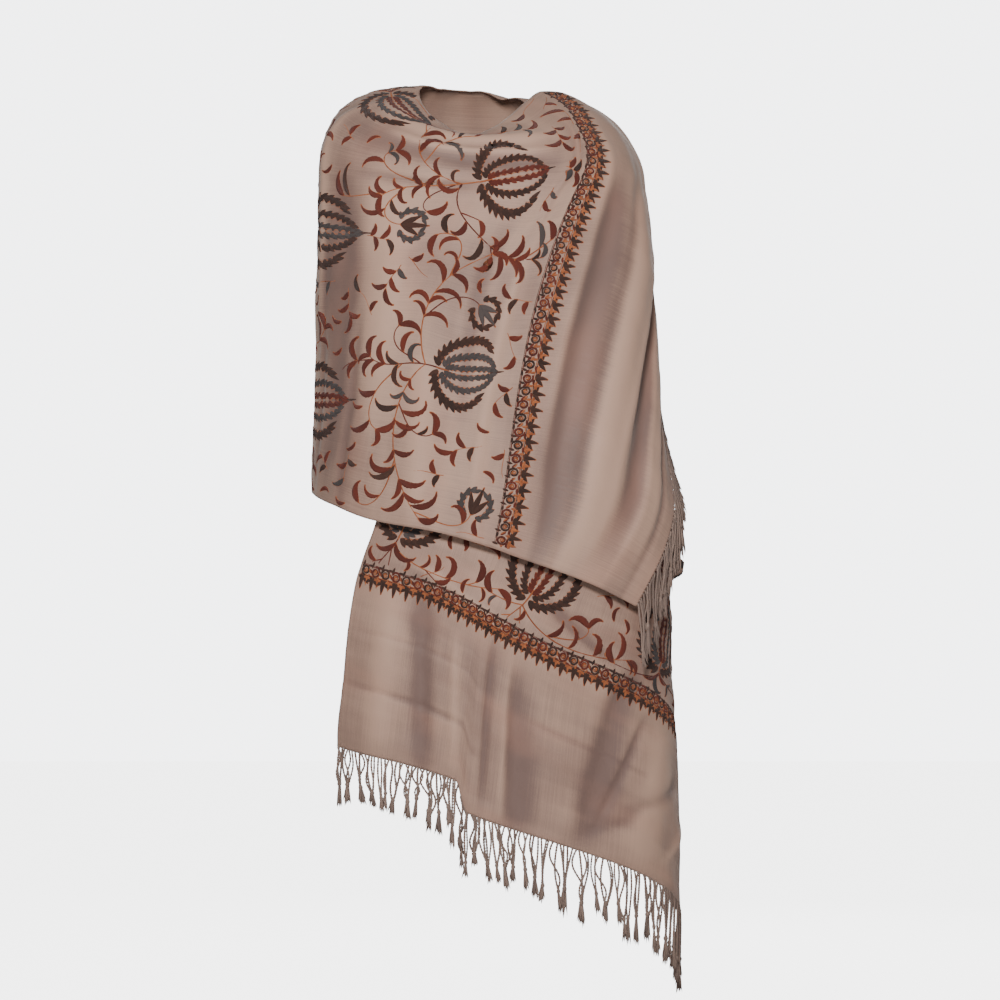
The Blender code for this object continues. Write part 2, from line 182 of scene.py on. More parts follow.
FINE_FOLDS = tuple(Fold(*row) for row in (
    # falling end: sharper creases inside the fan, pressing creases and slanting wrinkles
    (0.235, 0.250, 0.02, 0.262, 0.006, 0.010, -0.0022),
    (0.225, 0.285, 0.01, 0.300, 0.008, 0.007, 0.0016),
    (0.20, 0.180, 0.03, 0.205, 0.010, 0.012, 0.0018),
    (0.22, 0.505, 0.05, 0.440, 0.005, 0.008, -0.0024),
    (0.090, 0.005, 0.080, 0.240, 0.004, 0.005, -0.0013),
    (0.165, 0.000, 0.160, 0.260, 0.004, 0.004, -0.0007),
    (0.148, 0.330, 0.142, 0.520, 0.004, 0.005, -0.0011),
    (0.17, 0.620, 0.08, 0.480, 0.009, 0.010, -0.0020),
    (0.13, 0.660, 0.04, 0.560, 0.008, 0.009, 0.0016),
    (0.08, 0.500, 0.03, 0.420, 0.008, 0.008, -0.0014),
    (0.31, 0.080, 0.27, 0.240, 0.010, 0.012, 0.0016),
    (0.36, 0.300, 0.30, 0.430, 0.010, 0.013, -0.0020),
    # right side and back: lesser gathers between the main ones
    (0.70, 0.420, 0.58, 0.680, 0.012, 0.014, 0.0034),
    (0.84, 0.160, 0.72, 0.520, 0.012, 0.014, 0.0030),
    (0.91, 0.100, 0.86, 0.480, 0.012, 0.013, -0.0028),
    (1.01, 0.080, 0.99, 0.560, 0.014, 0.012, -0.0030),
    (1.04, 0.300, 1.02, 0.690, 0.012, 0.014, 0.0026),
    (1.13, 0.090, 1.11, 0.520, 0.013, 0.015, -0.0030),
    (1.15, 0.380, 1.12, 0.690, 0.011, 0.013, 0.0024),
    (1.25, 0.120, 1.23, 0.500, 0.012, 0.014, 0.0028),
    (1.27, 0.360, 1.25, 0.690, 0.012, 0.012, -0.0022),
    # front: creases under the neck and from the left shoulder
    (1.44, 0.030, 1.58, 0.036, 0.007, 0.008, -0.0022),
    (1.43, 0.095, 1.60, 0.108, 0.008, 0.010, 0.0022),
    (1.42, 0.180, 1.56, 0.190, 0.008, 0.010, -0.0016),
    (1.345, 0.080, 1.370, 0.480, 0.010, 0.012, 0.0026),
    (1.365, 0.240, 1.385, 0.680, 0.008, 0.010, -0.0022),
    (1.335, 0.300, 1.345, 0.690, 0.010, 0.012, 0.0022),
    (1.44, 0.420, 1.46, 0.690, 0.009, 0.011, -0.0020),
    (1.56, 0.480, 1.58, 0.690, 0.012, 0.014, 0.0020),
    (1.60, 0.240, 1.62, 0.560, 0.010, 0.012, -0.0016),
    (1.67, 0.300, 1.66, 0.640, 0.010, 0.010, 0.0015),
    # thrown end: finer folds beside the long ones
    (1.765, 0.100, 1.775, 0.560, 0.007, 0.009, 0.0018),
    (1.815, 0.120, 1.825, 0.680, 0.008, 0.010, -0.0022),
    (1.870, 0.120, 1.872, 0.640, 0.009, 0.009, 0.0024),
    (1.925, 0.140, 1.922, 0.680, 0.009, 0.010, 0.0022),
    (1.965, 0.180, 1.962, 0.660, 0.008, 0.008, -0.0022),
    (1.83, 0.010, 1.86, 0.220, 0.010, 0.012, 0.0026),
    (1.88, 0.000, 1.93, 0.180, 0.010, 0.010, -0.0024),
))


def smooth(knots: Array, values: Array, at: Array) -> Array:
    """Cubic through the values that doesn't overshoot between them.

    A Hermite cubic in each cell, with the end rises as end slopes and the harmonic mean of
    the two rises at an inner knot, or 0 where they have opposite signs.

    Args:
        knots: where the values stand, one for each row of values.
        values: one row a knot, and either one column or one for each place in at.
        at: where to read it.

    Returns:
        One value for each place in at.
    """
    knots, at = np.asarray(knots, float), np.asarray(at, float)
    values = np.asarray(values, float).reshape(len(knots), -1)
    values = np.broadcast_to(values, (len(knots), at.size))
    steps = np.diff(knots)[:, None]
    rises = np.diff(values, axis=0) / steps
    same = rises[:-1] * rises[1:] > 0
    pair = np.where(same, rises[:-1] + rises[1:], 1.0)
    inner = np.where(same, 2 * rises[:-1] * rises[1:] / pair, 0.0)
    slopes = np.concatenate((rises[:1], inner, rises[-1:]))
    flat = at.reshape(-1)
    cell = np.clip(np.searchsorted(knots, flat, side="right") - 1, 0, len(knots) - 2)
    column = np.arange(flat.size)
    run = steps[cell, 0]
    t = (flat - knots[cell]) / run
    result = (values[cell, column] * (1 + 2 * t) * (1 - t) ** 2
              + values[cell + 1, column] * t ** 2 * (3 - 2 * t)
              + slopes[cell, column] * run * t * (1 - t) ** 2
              - slopes[cell + 1, column] * run * t ** 2 * (1 - t))
    return result.reshape(at.shape)


def ease(t: Array) -> Array:
    """Return 0 below 0, 1 above 1 and a smooth rise between."""
    t = np.clip(t, 0.0, 1.0)
    return t * t * (3 - 2 * t)


def rounded(sine: Array, cosine: Array, roundness: Array | float) -> Array:
    """Return the factor that squares up a circle: 2 keeps it, more makes it boxier."""
    return (np.abs(sine) ** roundness + np.abs(cosine) ** roundness) ** (-1 / roundness)


def unit(vectors: Array) -> Array:
    """Return the vectors scaled to length 1."""
    return vectors / np.maximum(np.linalg.norm(vectors, axis=-1, keepdims=True), 1e-12)


def pairs(first: Array | float, second: Array | float) -> Array:
    """Return two arrays of values side by side on a new last axis."""
    return np.stack(np.broadcast_arrays(first, second), -1)


def run_along(path: Array) -> Array:
    """Return the distance of each point of a path from its start."""
    return np.concatenate(([0], np.cumsum(np.linalg.norm(np.diff(path, axis=0), axis=-1))))


def read_path(at: Array | float, run: Array, path: Array) -> Array:
    """Return places read off a path at the given distances, between its own points."""
    return np.stack([np.interp(at, run, values) for values in path.T], -1)


def soft_noise(x: Array, y: Array, spacing: float, seed: int) -> Array:
    """Smooth uneven height: a lattice of seeded values, blended by an eased bilinear.

    Args:
        x: first coordinate.
        y: second coordinate.
        spacing: distance between lattice values.
        seed: which lattice.

    Returns:
        Values between -1 and 1.
    """
    lattice = np.random.default_rng(seed).uniform(-1, 1, (256, 256))
    gx, gy = x / spacing + 64, y / spacing + 64
    ix, iy = np.floor(gx).astype(int), np.floor(gy).astype(int)
    tx, ty = ease(gx - ix), ease(gy - iy)
    near = lattice[ix, iy] * (1 - tx) + lattice[ix + 1, iy] * tx
    far = lattice[ix, iy + 1] * (1 - tx) + lattice[ix + 1, iy + 1] * tx
    return near * (1 - ty) + far * ty


@dataclass(frozen=True)
class Drape:
    """The form that the worn cloth lies on, and where each place of the cloth goes."""

    neck_centre: tuple[float, float] = (-0.020, 0.005)
    neck_half: tuple[float, float] = (0.072, 0.062)
    neck_height: float = -0.020
    neck_front_drop: float = 0.036
    neck_side_rise: float = 0.028
    shoulder_height: float = -0.13
    shoulder_roundness: float = 2.1
    left_shoulder_squareness: float = 1.2
    plan_roundness: float = 2.3
    layer_gap: float = 0.016
    under_layer_end: float = 1.06
    under_turn: tuple[float, float] = (142.0, 170.0)
    lap_across: float = 0.215
    lap_run: float = 0.020
    lap_drop: float = 0.040
    lap_depth: float = 0.010
    lap_recovery: float = 0.060
    lap_reach: float = 0.26
    fine_depth: float = 1.7
    calm: float = 0.02
    fold_overrun: float = 0.15
    fold_ease: float = 0.4

    def hanging_point(self, turn: Array, height: Array) -> tuple[Array, Array]:
        """Return x and y of the hanging cloth at a bearing and a height.

        Args:
            turn: bearing in degrees.
            height: height below the shoulders.

        Returns:
            The arrays x and y.
        """
        table = np.array(FORM)
        left, right, front, back = (smooth(-table[:, 0], table[:, column], -height)
                                    for column in (1, 2, 3, 4))
        sine, cosine = np.sin(np.radians(turn)), np.cos(np.radians(turn))
        factor = rounded(sine, cosine, self.plan_roundness)
        half_width = np.where(sine < 0, left, right)
        half_depth = np.where(cosine > 0, front, back)
        return half_width * sine * factor, -half_depth * cosine * factor

    def form_point(self, turn: Array, level: Array) -> Array:
        """Point of the form: a squared quarter arc from the neck, then straight down.

        Args:
            turn: bearing in degrees, 0 in front and 90 at the right side.
            level: 0 at the neck opening, and the height itself below the shoulders.

        Returns:
            Points, with x, y and z on the last axis.
        """
        turn, level = np.broadcast_arrays(np.asarray(turn, float), np.asarray(level, float))
        sine, cosine = np.sin(np.radians(turn)), np.cos(np.radians(turn))
        x, y = self.hanging_point(turn, np.minimum(level, self.shoulder_height))
        neck_x = self.neck_centre[0] + self.neck_half[0] * sine
        neck_y = self.neck_centre[1] - self.neck_half[1] * cosine
        neck_z = (self.neck_height - self.neck_front_drop * cosine
                  + self.neck_side_rise * sine ** 2)
        arc = np.pi / 2 * np.clip(level / self.shoulder_height, -1.0, 1.0)
        roundness = (self.shoulder_roundness
                     + self.left_shoulder_squareness * np.clip(-sine, 0, 1) ** 2)
        factor = rounded(np.sin(arc), np.cos(arc), roundness)
        out, up = np.sin(arc) * factor, np.cos(arc) * factor
        z = np.where(level < self.shoulder_height, level,
                     self.shoulder_height + (neck_z - self.shoulder_height) * up)
        return np.stack((neck_x + (x - neck_x) * out, neck_y + (y - neck_y) * out, z), -1)

    def form_normal(self, turn: Array, level: Array) -> Array:
        """Return the unit normal of the form, pointing outwards.

        Args:
            turn: bearing in degrees.
            level: as in form_point.

        Returns:
            Unit vectors.
        """
        slope_turn = self.form_point(turn + 1.0, level) - self.form_point(turn - 1.0, level)
        slope_level = self.form_point(turn, level + STEP) - self.form_point(turn, level - STEP)
        return unit(np.cross(slope_turn, slope_level))

    def fold_lift(self, along: Array, across: Array) -> Array:
        """Height of all folds: each a Gauss curve across its line, eased off at its ends.

        Args:
            along: places along the cloth.
            across: places across the cloth.

        Returns:
            The lift in metres.
        """
        lift = np.zeros(np.broadcast(along, across).shape)
        fine = [fold._replace(lift=self.fine_depth * fold.lift) for fold in FINE_FOLDS]
        for fold in (*MAIN_FOLDS, *fine):
            run = np.array([fold.end_along - fold.along, fold.end_across - fold.across])
            length = np.linalg.norm(run)
            run /= length
            off = np.stack(np.broadcast_arrays(along - fold.along, across - fold.across), -1)
            share = off @ run / length
            aside = off @ np.array([-run[1], run[0]])
            half = np.where(aside * np.sign(run[0] - run[1]) < 0, fold.before, fold.after)
            ends = (ease((share + self.fold_overrun) / self.fold_ease)
                    * ease((1 + self.fold_overrun - share) / self.fold_ease))
            lift += fold.lift * np.exp(-(aside / half) ** 2) * ends
        return lift

    def unevenness(self, along: Array, across: Array) -> Array:
        """Height of the cloth's small waves, longer down the cloth than along it.

        Args:
            along: places along the cloth.
            across: places across the cloth.

        Returns:
            The lift in metres.
        """
        lift = sum(wave.height * soft_noise(along + wave.slant * across, wave.squash * across,
                                            wave.spacing, wave.seed) for wave in WAVES)
        return lift * ease(along / self.calm) * ease((CLOTH_LENGTH - along) / self.calm)

    def place(self, along: Array, across: Array) -> tuple[Array, Array, Array]:
        """Bearing, level and lift of the worn cloth, from its place on the flat cloth.

        Args:
            along: distance from the falling end's fringe edge.
            across: distance from the top selvage.

        Returns:
            Three arrays: turn in degrees, level and lift in metres.
        """
        along, across = np.broadcast_arrays(np.asarray(along, float),
                                            np.asarray(across, float))
        table, flat = np.array(CROSS_LINES), along.reshape(-1)
        turn, level = (
            smooth(ACROSS, np.stack([smooth(table[:, 0], table[:, column], flat)
                                     for column in range(first, table.shape[1], 2)]),
                   across.reshape(-1)).reshape(along.shape) for first in (1, 2))
        lap = ease((self.lap_reach - along) / self.lap_reach)
        past = np.clip(across - self.lap_across, 0, None)
        level = level - self.lap_drop * lap * ease(past / self.lap_run)
        lap_lift = (-self.lap_depth * lap * ease(past / self.lap_run)
                    * np.exp(-past / self.lap_recovery))
        under = np.where(along < self.under_layer_end,
                         ease((self.under_turn[1] - turn)
                              / (self.under_turn[1] - self.under_turn[0])), 0.0)
        lift = self.fold_lift(along, across) + self.unevenness(along, across)
        return turn, level, lift + lap_lift - self.layer_gap * under

    def point(self, along: Array, across: Array) -> Array:
        """Return the point of the worn cloth at a place of the flat cloth."""
        turn, level, lift = self.place(along, across)
        return self.form_point(turn, level) + lift[..., None] * self.form_normal(turn, level)


@dataclass
class WornCloth:
    """The whole cloth sampled on one grid, with its normals."""

    drape: Drape = field(default_factory=Drape)
    cell: float = 0.004
    alongs: Array = field(init=False)
    acrosses: Array = field(init=False)
    points: Array = field(init=False)
    normals: Array = field(init=False)
    slope_along: Array = field(init=False)
    slope_across: Array = field(init=False)

    def __post_init__(self) -> None:
        """Sample the points, and take each normal from its neighbours' cross product."""
        self.alongs = np.linspace(0.0, CLOTH_LENGTH, round(CLOTH_LENGTH / self.cell) + 1)
        self.acrosses = np.linspace(0.0, CLOTH_WIDTH, round(CLOTH_WIDTH / self.cell) + 1)
        self.points = self.drape.point(self.alongs[:, None], self.acrosses[None, :])
        self.slope_along = np.gradient(self.points, self.alongs, axis=0)
        self.slope_across = np.gradient(self.points, self.acrosses, axis=1)
        self.normals = unit(np.cross(self.slope_across, self.slope_along))

    def read(self, grid: Array, along: Array, across: Array) -> Array:
        """Bilinear reading of a grid of vectors.

        Args:
            grid: one vector for each grid point.
            along: places along the cloth.
            across: places across the cloth.

        Returns:
            One vector for each place.
        """
        gx = np.clip(along / CLOTH_LENGTH, 0, 1) * (len(self.alongs) - 1)
        gy = np.clip(across / CLOTH_WIDTH, 0, 1) * (len(self.acrosses) - 1)
        ix = np.minimum(gx.astype(int), len(self.alongs) - 2)
        iy = np.minimum(gy.astype(int), len(self.acrosses) - 2)
        tx, ty = (gx - ix)[..., None], (gy - iy)[..., None]
        near = grid[ix, iy] * (1 - tx) + grid[ix + 1, iy] * tx
        far = grid[ix, iy + 1] * (1 - tx) + grid[ix + 1, iy + 1] * tx
        return near * (1 - ty) + far * ty

    def at(self, places: Array, height: Array | float = 0.0) -> Array:
        """Return points at places (along, across on the last axis), raised by a height."""
        point = self.read(self.points, places[..., 0], places[..., 1])
        return point + np.asarray(height)[..., None] * self.normal(places)

    def normal(self, places: Array) -> Array:
        """Return unit normals at places with along and across on the last axis."""
        return unit(self.read(self.normals, places[..., 0], places[..., 1]))

    def flat_per_metre(self, place: Array, reach: float = 0.012) -> Array:
        """How far to go on the flat cloth for a metre on the worn one, without skew.

        The inverse square root of the metric tensor, from slopes over a short reach.

        Args:
            place: along and across.
            reach: half the distance that the slopes are taken over.

        Returns:
            A 2 by 2 matrix that carries a worn offset to a flat one.
        """
        steps = np.array([[reach, 0.0], [0.0, reach]])
        slopes = np.stack([(self.at(place + step) - self.at(place - step)) / (2 * reach)
                           for step in steps])
        values, vectors = np.linalg.eigh(slopes @ slopes.T)
        return vectors @ np.diag(1 / np.sqrt(np.clip(values, 0.16, 4.0))) @ vectors.T


@dataclass
class MeshParts:
    """Vertices, faces and UVs gathered into one mesh."""

    verts: list[Array] = field(default_factory=list)
    faces: list[Array] = field(default_factory=list)
    uvs: list[Array] = field(default_factory=list)
    tints: list[Array] = field(default_factory=list)
    count: int = 0

    def add(self, verts: Array, faces: Array, uvs: Array, tint: float | Array = 0.5) -> None:
        """Take in one shape.

        Args:
            verts: points, one row each.
            faces: vertex numbers of four-sided faces.
            uvs: texture place of each vertex.
            tint: how light the shape is, from 0 to 1, for all of it or for each vertex; on the
                cloth it is painted fold shade, on threads and cords a random tone.
        """
        self.verts.append(verts.reshape(-1, 3))
        self.faces.append(faces.reshape(-1, 4) + self.count)
        self.uvs.append(uvs.reshape(-1, 2))
        self.tints.append(np.broadcast_to(tint, len(self.verts[-1])))
        self.count += len(self.verts[-1])

    def piece(self, name: str, material: bpy.types.Material, slot: str) -> bpy.types.Object:
        """Join all shapes to one object that rides on the shawl.

        Args:
            name: the piece's name.
            material: its finish.
            slot: the record's material slot; not used.

        Returns:
            The object, at the origin.
        """
        verts, faces = np.concatenate(self.verts), np.concatenate(self.faces)
        mesh = bpy.data.meshes.new(name)
        mesh.from_pydata(verts.tolist(), [], faces.tolist())
        loops = np.empty(len(mesh.loops), dtype=np.int32)
        mesh.loops.foreach_get("vertex_index", loops)
        layer = mesh.uv_layers.new(name="Flat")
        layer.data.foreach_set("uv", np.concatenate(self.uvs)[loops].astype(float).ravel())
        tint = mesh.attributes.new("tint", "FLOAT", "POINT")
        tint.data.foreach_set("value", np.concatenate(self.tints))
        mesh.materials.append(material)
        mesh.shade_smooth()
        piece = bpy.data.objects.new(name, mesh)
        bpy.context.scene.collection.objects.link(piece)
        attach(piece, BODY)
        LOG.info("%s: %d faces", name, len(faces))
        return piece


def grid_faces(rows: int, columns: int, closed: bool = False) -> Array:
    """Vertex numbers of the faces of a grid.

    Args:
        rows: rows of vertices.
        columns: vertices in a row.
        closed: whether each row closes into a ring.

    Returns:
        One row of four numbers a face.
    """
    numbers = np.arange(rows * columns).reshape(rows, columns)
    if closed:
        numbers = np.concatenate((numbers, numbers[:, :1]), axis=1)
    return np.stack((numbers[:-1, :-1], numbers[:-1, 1:], numbers[1:, 1:], numbers[1:, :-1]),
                    axis=-1).reshape(-1, 4)


class Nodes:
    """Short way to place and link shader nodes in one tree."""

    def __init__(self, tree: bpy.types.NodeTree) -> None:
        """Work in the given tree."""
        self.tree = tree

    def fill(self, sockets: bpy.types.bpy_prop_collection, values: dict) -> None:
        """Link each socket, by name or number, to another socket, or set its own value.

        Args:
            sockets: the inputs of a node.
            values: a value or a socket for each.
        """
        for key, value in values.items():
            if isinstance(value, bpy.types.NodeSocket):
                self.tree.links.new(value, sockets[key])
            else:
                sockets[key].default_value = value

    def add(self, kind: str, inputs: dict | None = None, **settings: object) -> bpy.types.Node:
        """Add a node.

        Args:
            kind: the node's type.
            inputs: values or sockets for its inputs, by name or number.
            settings: its properties.

        Returns:
            The node.
        """
        node = self.tree.nodes.new(kind)
        for key, value in settings.items():
            setattr(node, key, value)
        self.fill(node.inputs, inputs or {})
        return node

    def math(self, operation: str, *values: object) -> bpy.types.NodeSocket:
        """Return the result of a Math node."""
        return self.add("ShaderNodeMath", dict(enumerate(values)),
                        operation=operation).outputs[0]

    def weighted(self, *terms: tuple, start: float = 0.0) -> bpy.types.NodeSocket:
        """Return a start value plus the sum of all terms, each a value and its weight.

        Args:
            terms: pairs of a value and its weight.
            start: what the sum starts from.

        Returns:
            The sum.
        """
        total = start
        for value, weight in terms:
            total = self.math("MULTIPLY_ADD", value, weight, total)
        return total

    def mix(self, factor: object, first: object, second: object) -> bpy.types.NodeSocket:
        """Return two colours mixed by a factor."""
        return self.add("ShaderNodeMix", {0: factor, 6: first, 7: second},
                        data_type="RGBA").outputs[2]

    def noise(self, vector: object, scale: float, detail: float = 2.0) -> bpy.types.NodeSocket:
        """Return the value of a noise texture."""
        return self.add("ShaderNodeTexNoise", {"Vector": vector, "Scale": scale,
                                               "Detail": detail}).outputs[0]

    def streaks(self, vector: object, scale: tuple, detail: float = 2.0) -> bpy.types.NodeSocket:
        """Return a noise texture that is squeezed by its own scale along each axis."""
        return self.noise(self.scaled(vector, scale), 1.0, detail)

    def ranged(self, value: object, low: float, high: float, to_low: float = 0.0,
               to_high: float = 1.0) -> bpy.types.NodeSocket:
        """Return a value carried smoothly from one range to another, and held there.

        Args:
            value: the value.
            low: start of its range.
            high: end of its range.
            to_low: start of the new range.
            to_high: end of the new range.

        Returns:
            The new value.
        """
        return self.add("ShaderNodeMapRange",
                        dict(enumerate((value, low, high, to_low, to_high))),
                        interpolation_type="SMOOTHSTEP").outputs[0]

    def scaled(self, vector: object, scale: tuple) -> bpy.types.NodeSocket:
        """Return a vector scaled by a Mapping node."""
        return self.add("ShaderNodeMapping", {"Vector": vector, "Scale": scale}).outputs[0]

    def flat(self) -> bpy.types.NodeSocket:
        """Return the piece's own UVs."""
        return self.add("ShaderNodeUVMap", uv_map="Flat").outputs[0]

    def tint(self) -> bpy.types.NodeSocket:
        """Return how light each vertex is: painted fold shade on the cloth, a random tone
        elsewhere.
        """
        return self.add("ShaderNodeAttribute", attribute_name="tint").outputs["Fac"]

    def relief(self, strength: float, depth: float, *terms: tuple) -> bpy.types.NodeSocket:
        """Return the normal of a fine relief whose height is a sum of weighted terms."""
        return self.add("ShaderNodeBump", {"Strength": strength, "Distance": depth,
                                           "Height": self.weighted(*terms)}).outputs[0]


class Effect(Enum):
    """Effects that several finishes share, as node groups."""

    TWILL = "Twill weave"
    TWIST = "Twisted thread"


def effect_group(effect: Effect) -> bpy.types.NodeTree:
    """The shared node group of an effect, built once.

    A twill is warp and weft lines of yarn with a slanting rib where they step over each
    other.  A twist is one slanting wave along a thread.  Both put out a mask and a height.

    Args:
        effect: which effect.

    Returns:
        The group's tree.
    """
    if effect.value in bpy.data.node_groups:
        return bpy.data.node_groups[effect.value]
    tree = bpy.data.node_groups.new(effect.value, "ShaderNodeTree")
    for name, way, kind in (("Flat", "INPUT", "Vector"), ("Pitch", "INPUT", "Float"),
                            ("Slant", "INPUT", "Float"), ("Mask", "OUTPUT", "Float"),
                            ("Height", "OUTPUT", "Float")):
        tree.interface.new_socket(name, in_out=way, socket_type=f"NodeSocket{kind}")
    nodes = Nodes(tree)
    source = nodes.add("NodeGroupInput").outputs
    result = nodes.add("NodeGroupOutput").inputs
    apart = nodes.add("ShaderNodeSeparateXYZ", {0: source["Flat"]}).outputs
    turns = nodes.math("DIVIDE", 2 * np.pi, source["Pitch"])
    slanting = nodes.math("MULTIPLY_ADD", apart[1], source["Slant"], apart[0])
    rib = height = nodes.math("SINE", nodes.math("MULTIPLY", slanting, turns))
    if effect is Effect.TWILL:
        warp, weft = (nodes.math("SINE", nodes.math("MULTIPLY", line, turns))
                      for line in apart[:2])
        height = nodes.weighted((rib, 0.6), (nodes.math("MULTIPLY", warp, weft), 0.4))
    nodes.fill(result, {"Height": height, "Mask": nodes.ranged(height, -1.0, 1.0)})
    return tree


def new_material(name: str) -> tuple[bpy.types.Material, Nodes, bpy.types.Node]:
    """Make a material.

    Args:
        name: its name.

    Returns:
        The material, its nodes and its shader.
    """
    material = bpy.data.materials.new(name)
    material.use_nodes = True
    return material, Nodes(material.node_tree), material.node_tree.nodes["Principled BSDF"]


def yarn_effect(nodes: Nodes, effect: Effect, flat: bpy.types.NodeSocket, pitch: float,
                slant: float) -> bpy.types.NodeOutputs:
    """Place a shared effect in a material.

    Args:
        nodes: the material's nodes.
        effect: which effect.
        flat: its place on the cloth or along the thread, in metres.
        pitch: distance between its lines.
        slant: how far its ribs lean.

    Returns:
        The outputs, Mask and Height.
    """
    return nodes.add("ShaderNodeGroup", {"Flat": flat, "Pitch": pitch, "Slant": slant},
                     node_tree=effect_group(effect)).outputs


@dataclass(frozen=True)
class CottonFinish:
    """Fine twill cotton with a soft silky sheen, uneven dye and painted shade in the troughs of
    its folds.
    """

    name: str
    # lit and deep span the uneven dye; deep is also the painted shade of the fold troughs, lit
    # the painted light on their ridges
    lit: tuple[float, float, float]
    deep: tuple[float, float, float]
    roughness: float = 0.62
    sheen: float = 0.22
    pitch: float = 0.0011
    weave_depth: float = 0.00006
    rose: tuple[float, float, float] = (1.06, 0.82, 0.76)

    def material(self) -> bpy.types.Material:
        """Build the cloth's material on its flat UVs.

        Returns:
            The material.
        """
        material, nodes, shader = new_material(self.name)
        flat = nodes.scaled(nodes.flat(), (CLOTH_LENGTH, CLOTH_LENGTH, 1.0))
        weave = yarn_effect(nodes, Effect.TWILL, flat, self.pitch, 1.0)
        bands = nodes.streaks(flat, (22.0, 1.6, 1.0), 3.0)
        slubs = nodes.streaks(flat, (9.0, 700.0, 1.0))
        blotch = nodes.noise(flat, 7.0, 3.0)
        fuzz = nodes.noise(flat, 420.0)
        # tone mixes uneven dye from the noises with painted shade from the tint attribute:
        # troughs go toward the deep colour, ridges toward the lit one
        tone = nodes.weighted((blotch, 0.45), (bands, 0.35), (slubs, 0.25),
                              (weave["Mask"], 0.10), (fuzz, 0.08), (nodes.tint(), 0.80),
                              start=-0.38)
        colour = nodes.mix(nodes.ranged(tone, 0.36, 0.86), (*self.deep, 1.0), (*self.lit, 1.0))
        rose = nodes.ranged(nodes.streaks(flat, (16.0, 5.0, 1.0)), 0.45, 0.75, 0.0, 0.24)
        warm = (*(tint * share for tint, share in zip(self.lit, self.rose)), 1.0)
        nodes.fill(shader.inputs, {
            "Base Color": nodes.mix(rose, colour, warm),
            "Roughness": nodes.ranged(slubs, 0.3, 0.7, self.roughness - 0.06,
                                      self.roughness + 0.08),
            "Normal": nodes.relief(0.55, self.weave_depth, (weave["Height"], 1.0),
                                   (slubs, 1.4), (fuzz, 0.9)),
            "Sheen Weight": self.sheen,
            "Sheen Roughness": 0.45,
            "Sheen Tint": (0.95, 0.88, 0.82, 1.0),
            "Specular IOR Level": 0.35,
        })
        return material


@dataclass(frozen=True)
class ThreadFinish:
    """Spun thread: fine wool in embroidery stitches, or twisted cotton in the fringe."""

    name: str
    lit: tuple[float, float, float]
    deep: tuple[float, float, float]
    pitch: float = 0.0009
    slant: float = 0.55
    roughness: float = 0.78
    depth: float = 0.00025

    def material(self) -> bpy.types.Material:
        """Build the thread's material on UVs that run along each stitch line.

        Returns:
            The material.
        """
        material, nodes, shader = new_material(self.name)
        twist = yarn_effect(nodes, Effect.TWIST, nodes.flat(), self.pitch, self.slant)
        place = nodes.add("ShaderNodeTexCoord").outputs["Object"]
        fibre = nodes.noise(place, 900.0)
        tone = nodes.weighted((nodes.tint(), 0.55), (nodes.noise(place, 45.0), 0.35),
                              (twist["Mask"], 0.30), (fibre, 0.20))
        nodes.fill(shader.inputs, {
            "Base Color": nodes.mix(nodes.ranged(tone, 0.25, 1.10), (*self.deep, 1.0),
                                    (*self.lit, 1.0)),
            "Roughness": nodes.ranged(fibre, 0.3, 0.7, self.roughness - 0.08,
                                      self.roughness + 0.08),
            "Normal": nodes.relief(0.7, self.depth, (twist["Height"], 1.0), (fibre, 1.0)),
            "Sheen Weight": 0.08,
            "Sheen Roughness": 0.5,
            "Specular IOR Level": 0.3,
        })
        return material


@dataclass(frozen=True)
class SheetPlan:
    """One sheet of the cloth: its ends along the cloth and the CAD nodes it stands for."""

    name: str
    start: float
    end: float
    nodes: tuple[str, ...]


